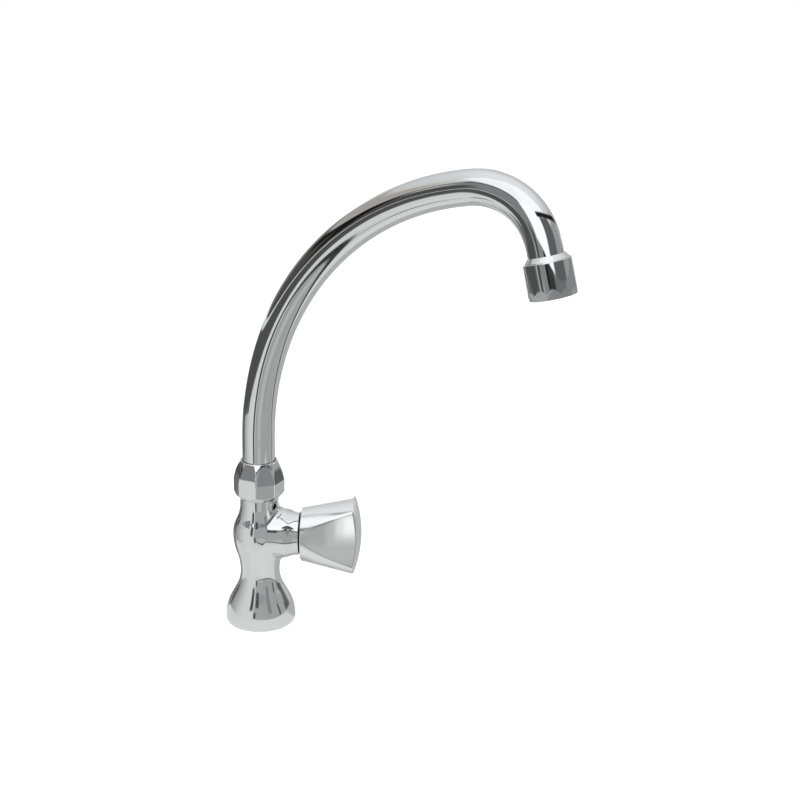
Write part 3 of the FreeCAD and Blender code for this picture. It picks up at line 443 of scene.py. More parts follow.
def new_piece(node, grids, body, slot, name=None, material=None, kept=None):
    """One closed piece that stands for a node, from grids of points that meet edge to edge.

    A grid's columns go round. The grids are joined where their points coincide, and all faces are
    turned outwards. kept says which cells of the first grid become faces.
    """
    name = name or f"{node}_surface"
    faces, start = [], 0
    for grid in grids:
        rows, columns = grid.shape[:2]
        numbers = start + np.arange(rows * columns).reshape(rows, columns)
        faces.append(cells_of(np.concatenate([numbers, numbers[:, :1]], 1)))
        start += rows * columns
    if kept is not None:
        faces[0] = faces[0][kept]
    points = np.concatenate([grid.reshape(-1, 3) for grid in grids])
    mesh = bpy.data.meshes.new(name)
    mesh.from_pydata(points, [], np.concatenate([quads.reshape(-1, 4) for quads in faces]))
    shell = bmesh.new()
    shell.from_mesh(mesh)
    bmesh.ops.remove_doubles(shell, verts=shell.verts, dist=WELD)
    loose = [vertex for vertex in shell.verts if not vertex.link_faces]
    bmesh.ops.delete(shell, geom=loose, context="VERTS")
    bmesh.ops.recalc_face_normals(shell, faces=shell.faces)
    if shell.calc_volume(signed=True) < 0:
        bmesh.ops.reverse_faces(shell, faces=shell.faces)
    holes = sum(1 for edge in shell.edges if len(edge.link_faces) != 2)
    shell.to_mesh(mesh)
    shell.free()
    if holes:
        raise RuntimeError(f"{name} has {holes} edges that don't join two faces")
    mesh.polygons.foreach_set("use_smooth", np.ones(len(mesh.polygons), bool))
    mesh.set_sharp_from_angle(angle=SHARP_ANGLE)
    piece = add_object(name, mesh)
    mesh.materials.append(finish(material or slot))
    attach(piece, body)
    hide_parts(node)


def turned_piece(node, profile, columns, body, slot, place=np.asarray):
    """A closed profile turned once round, or a profile from pole to pole, put in its place."""
    if np.linalg.norm(profile[0] - profile[-1]) > WELD and profile[0, 0] > WELD:
        profile = np.vstack([profile, profile[:1]])
    new_piece(node, [place(turned(profile, full_circle(columns)))], body, slot)


def about_valve(points):
    """The place of what is drawn about Z and lies along the valve's axis: angle 0 points along +Y."""
    return np.stack([points[..., 2], points[..., 0], points[..., 1] + VALVE_HEIGHT], -1)


def swung(points, swing):
    """The place of what is drawn in the XZ plane and belongs to the spout at rest."""
    cosine, sine = math.cos(-swing), math.sin(-swing)
    x, y, z = points[..., 0], points[..., 1], points[..., 2]
    return np.stack([cosine * x - sine * y, sine * x + cosine * y, z], -1)


# Body


def s_curve(start, end):
    """The two stations of an S-curve of equal bends that runs along the axis at its start and end."""
    run, step = end[1] - start[1], end[0] - start[0]
    bend = (run**2 + step**2) / (4 * step)
    middle = ((start[0] + end[0]) / 2, (start[1] + end[1]) / 2)
    return Station(*start, bend=-bend), Station(*middle, bend=bend)


def pillar_radius(sizes):
    """Heights and radii of the pillar's outside, from the deck to the start of the neck's thread."""
    bulge = (sizes.bulge_radius, VALVE_HEIGHT)
    profile = outline([
        Station(sizes.foot_radius, 0, bend=sizes.foot_edge),
        Station(sizes.belly_radius, sizes.belly_height, bend=sizes.belly_curve),
        Station(sizes.flank_low_radius, sizes.flank_low_height),
        Station(sizes.flank_high_radius, sizes.flank_high_height, bend=-sizes.waist_curve),
        *s_curve((sizes.waist_radius, sizes.waist_height), bulge),
        *s_curve(bulge, (sizes.neck_radius, sizes.shoulder_height)),
        Station(sizes.neck_radius, sizes.shoulder_height),
        Station(sizes.neck_radius, NECK_START),
    ], 0.25 * MM)
    heights = np.arange(sizes.belly_height, profile[-1, 1], 0.1 * MM)
    radii = smoothed(np.interp(heights, profile[:, 1], profile[:, 0]), heights, 4 * MM)
    foot = profile[profile[:, 1] < sizes.belly_height]
    return np.concatenate([foot[:, 1], heights]), np.concatenate([foot[:, 0], radii])


def boss_outline(sizes):
    """Places and radii of the boss's outside: straight, then an S-curve narrowing to its end."""
    profile = outline([
        Station(sizes.boss_root, -4 * MM),
        *s_curve((sizes.boss_root, sizes.boss_root_length), (sizes.boss_radius, BODY_HIGH.x)),
        Station(sizes.boss_radius, BODY_HIGH.x),
    ], 0.25 * MM)
    places = np.arange(profile[0, 1], BODY_HIGH.x, 0.1 * MM)
    return places, smoothed(np.interp(places, profile[:, 1], profile[:, 0]), places, 4 * MM)


def body_field(points, sizes, pillar, boss):
    """How far points lie outside the pillar and the boss, joined by a round fillet.

    Each distance is the radius less the profile's, times the cosine of the profile's slope. The
    fillet's reach shrinks with the cosine between the two surfaces' normals, as a rolling ball's does.
    """
    x, y, z = points[..., 0], points[..., 1], points[..., 2]
    radial = np.hypot(x, y) + 1e-12
    slope = np.interp(z, pillar[0], np.gradient(pillar[1], pillar[0]))
    lean = 1 / np.sqrt(1 + slope**2)
    from_pillar = (radial - np.interp(z, *pillar)) * lean
    off_axis = np.hypot(y, z - VALVE_HEIGHT) + 1e-12
    boss_slope = np.interp(x, boss[0], np.gradient(boss[1], boss[0]))
    boss_lean = 1 / np.sqrt(1 + boss_slope**2)
    from_boss = (off_axis - np.interp(x, *boss)) * boss_lean
    first = np.stack([x / radial, y / radial, -slope], -1) * lean[..., None]
    second = np.stack([-boss_slope, y / off_axis, (z - VALVE_HEIGHT) / off_axis], -1) * boss_lean[..., None]
    reach = sizes.boss_blend * (1 - np.clip((first * second).sum(-1), 0, 1))
    inside = np.hypot(np.maximum(reach - from_pillar, 0), np.maximum(reach - from_boss, 0))
    return np.maximum(reach, np.minimum(from_pillar, from_boss)) - inside


def settle(starts, directions, field, reach=RAY_REACH):
    """The first place where each ray leaves the solid: a march outwards, then halving."""
    low = np.zeros(starts.shape[:-1])
    high = np.full(starts.shape[:-1], reach)
    done = np.zeros(starts.shape[:-1], bool)
    for distance in np.arange(RAY_STEP, reach, RAY_STEP):
        outside = field(starts + distance * directions) > 0
        high = np.where(outside & ~done, distance, high)
        done |= outside
        low = np.where(done, low, distance)
    for _ in range(RAY_HALVINGS):
        middle = (low + high) / 2
        outside = field(starts + middle[..., None] * directions) > 0
        high = np.where(outside, middle, high)
        low = np.where(outside, low, middle)
    return starts + ((low + high) / 2)[..., None] * directions


def body_sheets(sizes):
    """The body's pillar, the boss grown out of it, the boss's bore, and the pillar's cells to keep."""
    pillar, boss = pillar_radius(sizes), boss_outline(sizes)
    heights = np.concatenate([
        np.linspace(0, sizes.belly_height, 12)[:-1],
        np.arange(sizes.belly_height, NUT_LOW.z - 1 * MM, 0.48 * MM),
    ])
    outside = np.stack([np.interp(heights, *pillar), heights], 1)
    inlet = outline([
        Station(0, WATER_WAY_TOP),
        Station(WATER_WAY, WATER_WAY_TOP),
        Station(WATER_WAY, TAIL_TOP),
        Station(sizes.thread_radius, TAIL_TOP),
        Station(sizes.thread_radius, RECESS_TOP),
        Station(RECESS, RECESS_TOP),
        Station(RECESS, 0, 0.2 * MM),
        Station(sizes.foot_radius, 0),
    ], 3 * MM)
    neck = outline([
        Station(*outside[-1]),
        Station(sizes.neck_radius, NECK_START, 0.15 * MM),
        Station(sizes.thread_radius, NECK_START),
        Station(sizes.thread_radius, NECK_TOP - 0.6 * MM),
        Station(sizes.thread_radius - 0.6 * MM, NECK_TOP),
        Station(NECK_BORE, NECK_TOP),
        Station(NECK_BORE, NECK_FLOOR),
        Station(0, NECK_FLOOR),
    ], 3 * MM)
    profile = np.vstack([inlet[:-1], outside, neck[1:]])
    angles = full_circle(BODY_COLUMNS) - math.pi
    grid = turned(profile, angles)

    # The window that the boss grows out of
    first_row, last_row = len(inlet) - 1 + np.searchsorted(heights, (WINDOW_LOW, WINDOW_HIGH))
    left, right = BODY_COLUMNS // 4, 3 * BODY_COLUMNS // 4
    kept = np.ones((len(profile) - 1, BODY_COLUMNS), bool)
    kept[first_row:last_row, left:right] = False
    window = np.concatenate([
        grid[last_row, left:right],
        grid[last_row:first_row:-1, right],
        grid[first_row, right:left:-1],
        grid[first_row:last_row, left],
    ])

    # From the window to the boss's end, found along rays that tilt from the pillar to the boss
    ray_start, boss_end = 2 * MM, BODY_HIGH.x - 0.9 * MM
    share_along = np.linspace(0, 1, 54)[1:, None]
    around = np.arctan2(window[:, 2] - VALVE_HEIGHT, window[:, 1])
    outward = np.stack([0 * around, np.cos(around), np.sin(around)], -1)
    origin = np.array([ray_start, 0, VALVE_HEIGHT])
    toward_window = window - origin
    toward_window /= np.linalg.norm(toward_window, axis=-1, keepdims=True)
    starts = np.zeros((len(share_along), len(window), 3))
    starts[..., 0] = ray_start + (boss_end - ray_start) * share_along
    starts[..., 2] = VALVE_HEIGHT
    lean = share_along[..., None] ** 0.8
    directions = (1 - lean) * toward_window + lean * outward
    directions /= np.linalg.norm(directions, axis=-1, keepdims=True)
    grown = settle(starts, directions, lambda p: body_field(p, sizes, pillar, boss))
    grown = np.concatenate([window[None], grown])

    # The boss's end and its bore
    end_radius = np.hypot(grown[-1, 0, 1], grown[-1, 0, 2] - VALVE_HEIGHT)
    bore = outline([
        Station(end_radius, boss_end),
        Station(sizes.boss_radius, BODY_HIGH.x, 0.45 * MM),
        Station(sizes.valve_bore, BODY_HIGH.x, 0.3 * MM),
        Station(sizes.valve_bore, VALVE_FLOOR),
        Station(0, VALVE_FLOOR),
    ], 1.5 * MM)
    inner = np.stack([
        np.repeat(bore[:, 1:2], len(around), 1),
        bore[:, :1] * np.cos(around),
        bore[:, :1] * np.sin(around) + VALVE_HEIGHT,
    ], -1)
    inner[0] = grown[-1]
    return [grid, grown, inner], kept


def nut_sheets(low, high, flats, sides, edge, lower_profile, upper_profile, inside):
    """A turned shape cut by flats: each column's rows follow the edges where the flats meet it.

    The flats are points (distance from the axis, height), so that they can lean. The radius is the
    smaller of the polygon's and the turned profile's, with a rounded changeover.
    """
    angles = gathered(28, sides)
    prism = polygon_radius(angles, sides, 2 * flats[0, 0], edge)
    lower_edge = np.interp(prism, lower_profile[:, 0], lower_profile[:, 1])
    if len(flats) > 2:
        upper_edge = flats[1, 1] + 0 * prism
    else:
        upper_edge = np.interp(-prism, -upper_profile[:, 0], upper_profile[:, 1])
    bands = [
        low + (lower_edge - low) * eased_steps(10)[:, None],
        lower_edge + (upper_edge - lower_edge) * eased_steps(26)[1:, None],
        upper_edge + (high - upper_edge) * eased_steps(34)[1:, None],
    ]
    heights = np.concatenate(bands)
    turned_radius = np.where(
        heights < (lower_edge + upper_edge) / 2,
        np.interp(heights, lower_profile[:, 1], lower_profile[:, 0]),
        np.interp(heights, upper_profile[:, 1], upper_profile[:, 0]),
    )
    distance = np.interp(heights, flats[:, 1], flats[:, 0])
    radius = softer_of(polygon_radius(angles, sides, 2 * distance, edge), turned_radius, 0.35 * MM)
    radius[0], radius[-1] = lower_profile[0, 0], upper_profile[-1, 0]
    return [about_z(radius, angles, heights), turned(inside, angles)]


# Spout


def spout_path(sizes):
    """Places and tangent angles along the tube's middle, in its own plane.

    The turn for each step is the bend's curvature, eased where bends meet. The small error that this
    leaves at the outlet is spread along the tube.
    """
    runs = [
        (sizes.rise, 0),
        (sizes.long_bend * sizes.long_turn, 1 / sizes.long_bend),
        (sizes.crown_bend * sizes.crown_turn, 1 / sizes.crown_bend),
        (sizes.end_bend * sizes.end_turn, 1 / sizes.end_bend),
        (sizes.end_straight + sizes.socket, 0),
    ]
    ends = np.cumsum([length_of for length_of, _ in runs])
    along = np.linspace(0, ends[-1], PATH_STEPS + 1)
    curvature = np.array([bend for _, bend in runs])[np.searchsorted(ends[:-1], along, "right")]
    step = along[1] - along[0]

    def walk(bend):
        turn = np.concatenate([[0], np.cumsum((bend[1:] + bend[:-1]) / 2) * step])
        heading = np.stack([np.sin(turn), np.cos(turn)], 1)
        way = np.concatenate([[[0, 0]], np.cumsum((heading[1:] + heading[:-1]) / 2, 0) * step])
        return way, turn

    exact, _ = walk(curvature)
    way, turn = walk(smoothed(curvature, along, 2 * sizes.easing))
    drift = (along / along[-1])[:, None]
    way = way + (exact[-1] - way[-1]) * drift**2 * (3 - 2 * drift)
    way[:, 1] += TUBE_LOW.z
    picked = np.linspace(0, PATH_STEPS, PATH_ROWS).astype(int)
    return way[picked], turn[picked]


def outlet_place(sizes):
    """A function that puts what is drawn about Z, mouth down, on the tilted end of the spout."""
    turn = sizes.long_turn + sizes.crown_turn + sizes.end_turn
    way, _ = spout_path(sizes)
    tilt = turn - math.pi
    heading = np.array([math.sin(turn), math.cos(turn)])
    origin = way[-1] - sizes.socket * heading

    def place(points):
        x, y, z = points[..., 0], points[..., 1], points[..., 2]
        reach = origin[0] + math.cos(tilt) * x + math.sin(tilt) * z
        height = origin[1] - math.sin(tilt) * x + math.cos(tilt) * z
        return swung(np.stack([reach, y, height], -1), sizes.swing)

    return place


def tube_sheets(sizes):
    """The tube: circles carried along its path, outside and inside, joined at both ends."""
    way, turn = spout_path(sizes)
    around = full_circle(TUBE_COLUMNS)
    grids = []
    for radius in (sizes.tube_radius, sizes.tube_bore):
        out, side = radius * np.cos(around), radius * np.sin(around)
        reach = way[:, :1] + out * np.cos(turn)[:, None]
        height = way[:, 1:] - out * np.sin(turn)[:, None]
        grids.append(swung(np.stack([reach, side + 0 * reach, height], -1), sizes.swing))
    outer, inner = grids
    return [outer, inner, *(np.stack([outer[end], inner[end]]) for end in (0, -1))]


def aerator_sheets(sizes, place):
    """The aerator shell: a turned ring whose lower edge is cut by tilted facets.

    A facet's distance from the axis grows evenly with height. Each column's rows follow the edge
    where its facet runs out into the round shell.
    """
    bottom = -sizes.aerator_length
    sector = 2 * math.pi / sizes.facets
    angles = gathered(20, sizes.facets) + sector / 2
    from_facet = (angles + sector / 2) % sector - sector / 2
    growth = (sizes.aerator_radius - sizes.facet_distance) / sizes.facet_height
    rounding, top = 0.25 * MM, -0.9 * MM
    start = bottom + rounding
    crest = bottom + (sizes.aerator_radius * np.cos(from_facet) - sizes.facet_distance) / growth
    heights = np.concatenate([
        start + (crest - start) * eased_steps(22)[:, None],
        crest + (top - crest) * eased_steps(30)[1:, None],
    ])
    facet = (sizes.facet_distance + growth * (heights - bottom)) / np.cos(from_facet)
    radius = softer_of(facet, sizes.aerator_radius + 0 * heights, 0.12 * MM)
    outer = about_z(radius, angles, heights)
    edge = np.linspace(0, math.pi / 2, 6)[:, None]
    lip = about_z(radius[0] - rounding * (1 - np.cos(edge)), angles, start - rounding * np.sin(edge))
    inside = outline([
        Station(sizes.aerator_radius, top),
        Station(sizes.aerator_radius, 0, 0.55 * MM),
        Station(sizes.bush_thread, 0),
        Station(sizes.bush_thread, -sizes.core_shoulder),
        Station(sizes.aerator_mouth, -sizes.core_shoulder),
        Station(sizes.aerator_mouth, bottom, 0.2 * MM),
        Station(sizes.aerator_mouth + 0.3 * MM, bottom),
    ], 0.8 * MM)
    inner = turned(inside, angles)
    inner[0] = outer[-1]
    return [place(sheet) for sheet in (outer, lip, inner, np.stack([inner[-1], lip[-1]]))]


# Knob


def dome_curve(sizes):
    """Radius of the front's shallow dome, from its height over the rim."""
    height = CAP_HIGH.x - sizes.rim
    return (sizes.rim_radius**2 + height**2) / (2 * height)


def dome_place(sizes, radius):
    """Where the dome is at a distance from the valve's axis."""
    curve = dome_curve(sizes)
    return CAP_HIGH.x - curve + np.sqrt(curve**2 - radius**2)


def knob_field(points, sizes):
    """How far points lie outside the knob: the cone, the dome and the grips, with rounded edges.

    A point is (across, across, along the valve's axis). The cone and the dome are distances from a
    tilted line and a sphere, and a grip face is the distance from a wide, tilted cylinder.
    """
    across, up, along = points[..., 0], points[..., 1], points[..., 2]
    rear, curve = KNOB_LOW.x, dome_curve(sizes)
    growth = (sizes.rim_radius - sizes.rear_radius) / (sizes.rim - rear)
    cone = np.hypot(across, up) - sizes.rear_radius - growth * (along - rear)
    solid = cone / math.sqrt(1 + growth**2)
    rise = (sizes.grip_front - sizes.grip_rear) / (sizes.rim - rear)
    for grip in range(sizes.grips):
        facing = math.pi - sizes.grip_lift + grip * 2 * math.pi / sizes.grips
        forward = across * math.cos(facing) + up * math.sin(facing)
        aside = up * math.cos(facing) - across * math.sin(facing)
        axis_off = sizes.grip_front - sizes.grip_radius + rise * (along - sizes.rim)
        beyond = np.hypot(forward - axis_off, aside) - sizes.grip_radius
        solid = -softer_of(-solid, -beyond, 1.2 * sizes.edge)
    dome = np.sqrt(across**2 + up**2 + (along - CAP_HIGH.x + curve) ** 2) - curve
    rounded = np.hypot(np.maximum(sizes.edge + solid, 0), np.maximum(sizes.edge + dome, 0))
    return rounded + np.minimum(-sizes.edge, np.maximum(solid, dome))


def knob_sheets(sizes):
    """The knob's outside, found along rays from a point inside it, and its turned hollow."""
    rear = KNOB_LOW.x
    angles = full_circle(KNOB_COLUMNS)
    centre = np.array([0, 0, rear + 0.5 * (sizes.rim - rear)])

    def field(points):
        return knob_field(points, sizes)

    # Where each column crosses the rim: the side's radius at the rim's place
    ring = about_z(1, angles, 0)

    def side_radius(along):
        starts = np.zeros_like(ring)
        starts[:, 2] = along
        found = settle(starts, ring, field, SIDE_REACH)
        return np.hypot(found[:, 0], found[:, 1])

    hole_edge = sizes.cap_hole + 0.35 * MM
    hole_place = dome_place(sizes, hole_edge)
    rear_place = rear + 0.5 * MM
    rim_radius = side_radius(sizes.rim - sizes.edge) + 0.15 * sizes.edge
    rim_place = dome_place(sizes, rim_radius)
    polar = [
        np.full_like(angles, math.atan2(hole_edge, hole_place - centre[2])),
        np.arctan2(rim_radius, rim_place - centre[2]),
        np.arctan2(side_radius(rear_place), rear_place - centre[2]),
    ]
    spread = np.concatenate([
        polar[0] + (polar[1] - polar[0]) * np.sin(np.linspace(0, 1, 27) * math.pi / 2)[:, None],
        polar[1] + (polar[2] - polar[1]) * (1 - np.cos(np.linspace(0, 1, 71) * math.pi / 2))[1:, None],
    ])
    directions = about_z(np.sin(spread), angles, np.cos(spread))
    outside = settle(np.broadcast_to(centre, directions.shape), directions, field)

    # The rear edge and the hollow
    edge = np.linspace(0, math.pi / 2, 6)[:, None]
    inward = 1 - 0.5 * MM * (1 - np.cos(edge)) / np.hypot(outside[-1, :, 0], outside[-1, :, 1])
    behind = np.stack([
        outside[-1, :, 0] * inward,
        outside[-1, :, 1] * inward,
        outside[-1, :, 2] - (outside[-1, :, 2] - rear) * np.sin(edge),
    ], -1)
    hollow = outline([
        Station(sizes.cavity_rear + 0.4 * MM, rear),
        Station(sizes.cavity_rear, rear, 0.25 * MM),
        Station(sizes.cavity_front, sizes.cavity_end, 0.8 * MM),
        Station(sizes.hub_radius, sizes.cavity_end, 0.8 * MM),
        Station(sizes.hub_radius, sizes.hub_start, 0.3 * MM),
        Station(sizes.insert_radius, sizes.hub_start),
        Station(sizes.insert_radius, sizes.insert_end),
        Station(sizes.screw_hole, sizes.insert_end),
        Station(sizes.screw_hole, sizes.screw_seat),
        Station(sizes.screw_well, sizes.screw_seat),
        Station(sizes.screw_well, CAP_LOW.x),
        Station(sizes.cap_hole, CAP_LOW.x),
        Station(sizes.cap_hole, hole_place + 0.01 * MM, 0.2 * MM),
        Station(hole_edge, hole_place),
    ], 1.2 * MM)
    inner = turned(hollow, angles)
    inner[-1] = outside[0]
    face = np.stack([behind[-1], inner[0]])
    return [about_valve(sheet) for sheet in (outside, behind, face, inner)]


# Fixings below the deck


def thread_radius(along, around, sizes, start, end):
    """Radius of a pipe thread: a rounded V that climbs one pitch a turn and fades at its two ends."""
    phase = (along / sizes.thread_pitch - around / (2 * math.pi)) % 1
    groove = 1 - np.abs(2 * phase - 1)
    groove = np.clip(1.35 * groove - 0.175, 0, 1)
    fade = np.clip(np.minimum(along - start, end - along) / sizes.thread_pitch, 0, 1)
    return sizes.thread_radius - sizes.thread_depth * fade * (1 - groove)


def shank_sheets(sizes):
    """The threaded tail: its thread outside, the relief groove under the nut, and its bore."""
    low, high = (corner.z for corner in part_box("threaded_shank"))
    around = full_circle(SHANK_COLUMNS)
    bore, lead_in = 6.5 * MM, 0.6 * MM
    relief_low, relief_high = -28.6 * MM, -27.0 * MM
    relief = sizes.thread_radius - 1.1 * MM
    bands = []
    for start, end in ((low, relief_low), (relief_high, high)):
        along = np.arange(start, end, sizes.thread_pitch / 11)
        along = np.append(along[:-1], end)[:, None]
        radius = thread_radius(along, around, sizes, start, end)
        chamfer = lead_in - np.clip(along - low, 0, lead_in)
        radius = np.minimum(radius, sizes.thread_radius - chamfer)
        bands.append(about_z(radius, around, along))
    groove = turned(np.array([[relief, relief_low], [relief, relief_high]]), around)
    inside = turned(np.array([[bore, high], [bore, low]]), around)
    return [np.concatenate([bands[0], groove, bands[1], inside, bands[0][:1]])]


def backnut_profiles(sizes):
    """The chamfered turned shape of the backnut, below and above, and its tapped hole."""
    low, high = (corner.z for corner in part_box("backnut"))
    corner = sizes.backnut_flats / 2 / math.cos(math.pi / 6)
    reach, fall = sizes.backnut_flats / 2 - 0.4 * MM, 1.5 * MM
    lower = np.array([[reach, low], [corner, low + fall], [corner + 1 * MM, low + fall + 0.5 * MM]])
    upper = np.array([[corner + 1 * MM, high - fall - 0.5 * MM], [corner, high - fall], [reach, high]])
    inside = outline([
        Station(reach, high),
        Station(sizes.thread_radius, high, 0.3 * MM),
        Station(sizes.thread_radius, low, 0.3 * MM),
        Station(reach, low),
    ], 2 * MM)
    return low, high, lower, upper, inside


# Finishes


def add_node(tree, kind, settings=None, **values):
    """A node with its settings and the values or links of its inputs, by name or as i and a number."""
    node = tree.nodes.new(kind)
    for name, setting in (settings or {}).items():
        setattr(node, name, setting)
    for name, given in values.items():
        socket = node.inputs[int(name[1:]) if name[1:].isdigit() else name]
        if isinstance(given, bpy.types.NodeSocket):
            tree.links.new(given, socket)
        else:
            socket.default_value = given
    return node


def math_node(tree, operation, *values):
    """A math node's result."""
    inputs = {f"i{number}": given for number, given in enumerate(values)}
    return add_node(tree, "ShaderNodeMath", {"operation": operation}, **inputs).outputs[0]


def spread_node(tree, value, low, high, start, end):
    """A value moved from one range to another, held at its ends."""
    ranges = {"Value": value, "From Min": low, "From Max": high, "To Min": start, "To Max": end}
    settings = {"interpolation_type": "SMOOTHSTEP"}
    return add_node(tree, "ShaderNodeMapRange", settings, **ranges).outputs["Result"]


def noise(tree, place, scale, detail, **more):
    """The factor of a noise texture."""
    made = add_node(tree, "ShaderNodeTexNoise", Vector=place, Scale=scale, Detail=detail, **more)
    return made.outputs["Fac"]


def shader_group(inputs, outputs):
    """Turn a function that fills a node group into one that gives the group, filled only once.

    An input without a default is a vector.
    """
    def wrapped(fill):
        def given_group():
            name = fill.__name__
            if name in bpy.data.node_groups:
                return bpy.data.node_groups[name]
            group = bpy.data.node_groups.new(name, "ShaderNodeTree")
            for socket, default in inputs.items():
                kind = "NodeSocketVector" if default is None else "NodeSocketFloat"
                made = group.interface.new_socket(socket, in_out="INPUT", socket_type=kind)
                if default is not None:
                    made.default_value = default
            for socket in outputs:
                group.interface.new_socket(socket, in_out="OUTPUT", socket_type="NodeSocketFloat")
            given = group.nodes.new("NodeGroupInput").outputs
            put = group.nodes.new("NodeGroupOutput").inputs
            for socket, result in zip(outputs, fill(group, given)):
                group.links.new(result, put[socket])
            return group
        return given_group
    return wrapped


@shader_group(
    {"Vector": None, "Base": 0.05, "Smears": 0.03, "Wave Scale": 90.0, "Lines": 0.0},
    ("Roughness", "Height"),
)
def polish(group, given):
    """Plated polish: smears that change the roughness, and the slight waviness of a buffed casting."""
    smear = noise(group, given["Vector"], 55.0, 4.0, Distortion=1.2)
    patches = spread_node(group, smear, 0.45, 0.75, 0.0, 1.0)
    fine = noise(group, given["Vector"], 900.0, 2.0)
    hair = spread_node(group, fine, 0.35, 0.7, 0.6, 1.0)
    worn = math_node(group, "MULTIPLY", math_node(group, "MULTIPLY", patches, hair), given["Smears"])
    wave = noise(group, given["Vector"], given["Wave Scale"], 1.0)
    lines = math_node(group, "MULTIPLY", fine, given["Lines"])
    return math_node(group, "ADD", given["Base"], worn), math_node(group, "ADD", wave, lines)


@shader_group(
    {"Vector": None, "Scale": 600.0, "Mottle": 0.2, "Base": 0.5},
    ("Roughness", "Height", "Shade"),
)
def grain(group, given):
    """Moulded or pressed grain, with mottled colour, from two sizes of noise."""
    fine = noise(group, given["Vector"], given["Scale"], 5.0)
    both = math_node(group, "ADD", fine, noise(group, given["Vector"], 80.0, 3.0))
    centred = math_node(group, "SUBTRACT", both, 1.0)
    shade = math_node(group, "MULTIPLY_ADD", centred, given["Mottle"], 1.0)
    return math_node(group, "MULTIPLY_ADD", centred, 0.25, given["Base"]), fine, shade


@shader_group(
    {"Vector": None, "Pitch": 2500.0, "Base": 0.25},
    ("Roughness", "Height", "Shade"),
)
def lathe_marks(group, given):
    """Tool marks of a turned part: fine lines that change the height, and a little tarnish."""
    lines = add_node(
        group, "ShaderNodeTexWave", {"wave_type": "BANDS", "bands_direction": "DIAGONAL"},
        Vector=given["Vector"], Scale=given["Pitch"], Distortion=0.6, Detail=2.0,
    )
    tarnish = noise(group, given["Vector"], 120.0, 5.0)
    rough = math_node(group, "MULTIPLY_ADD", tarnish, 0.2, given["Base"])
    return rough, lines.outputs["Fac"], spread_node(group, tarnish, 0.3, 0.7, 0.82, 1.05)


def surface(name, base, group, values, strength, distance, metallic=1.0, **shader):
    """A material that takes roughness, bump and, where there is one, shade from a node group."""
    material = bpy.data.materials.new(name)
    material.use_nodes = True
    tree = material.node_tree
    principled = tree.nodes["Principled BSDF"].inputs
    principled["Base Color"].default_value = (*base, 1)
    principled["Metallic"].default_value = metallic
    for socket, given in shader.items():
        principled[socket.replace("_", " ")].default_value = given
    place = tree.nodes.new("ShaderNodeTexCoord").outputs["Object"]
    made = add_node(tree, "ShaderNodeGroup", {"node_tree": group()}, Vector=place, **values).outputs
    tree.links.new(made["Roughness"], principled["Roughness"])
    bump = add_node(tree, "ShaderNodeBump", Height=made["Height"], Strength=strength, Distance=distance)
    tree.links.new(bump.outputs["Normal"], principled["Normal"])
    if "Shade" in made:
        settings = {"data_type": "RGBA", "blend_type": "MULTIPLY"}
        mix = add_node(tree, "ShaderNodeMix", settings, Factor=1.0, A=(*base, 1), B=made["Shade"])
        tree.links.new(mix.outputs["Result"], principled["Base Color"])
    return material


# How far the bump of each kind of surface reaches, in metres
POLISH_RELIEF, MARKS_RELIEF, GRAIN_RELIEF = 0.0004, 0.00003, 0.00006


def finish(slot):
    """The finish of one of the record's slots, made when it is first asked for."""
    name = f"{slot}_finish"
    if name in bpy.data.materials:
        return bpy.data.materials[name]
    look = bpy.context.scene.tap_finish

    def plated(base, roughness, smears, wave, strength, lines=0.0):
        values = {"Base": roughness, "Smears": smears, "Wave Scale": wave, "Lines": lines}
        return surface(name, base, polish, values, strength, POLISH_RELIEF)

    def machined(base, roughness):
        return surface(name, base, lathe_marks, {"Base": roughness}, 0.15, MARKS_RELIEF)

    def moulded(base, roughness, mottle, scale, **shader):
        values = {"Scale": scale, "Mottle": mottle, "Base": roughness}
        return surface(name, base, grain, values, 0.2, GRAIN_RELIEF, 0.0, **shader)

    makers = {
        "chrome": lambda: plated(look.chrome, look.chrome_polish, 0.035, 70.0, 0.05),
        "cast_chrome": lambda: plated(look.chrome, look.cast_polish, 0.05, 95.0, 0.16),
        "knob_chrome": lambda: plated(look.knob_chrome, look.knob_polish, 0.06, 110.0, 0.06, 0.15),
        "cap_chrome": lambda: plated(look.knob_chrome, look.knob_polish, 0.05, 90.0, 0.04),
        "brass": lambda: machined(look.brass, 0.2),
        "steel": lambda: machined(look.steel, 0.16),
        "black_rubber": lambda: moulded(look.rubber, 0.55, 0.5, 900.0),
        "white_plastic": lambda: moulded(look.white_plastic, 0.4, 0.08, 700.0, Subsurface_Weight=0.1),
        "grey_plastic": lambda: moulded(look.grey_plastic, 0.45, 0.2, 800.0),
        # The fibre colour is painted shade, darkened for the gap the gasket sits in.
        "red_fibre": lambda: moulded(look.fibre, 0.7, 0.6, 1500.0),
    }
    return makers[slot]()


# Studio

Panel = namedtuple("Panel", "azimuth up half_width half_up softness grey")
Arch = namedtuple("Arch", "middle top fall half_span panel")

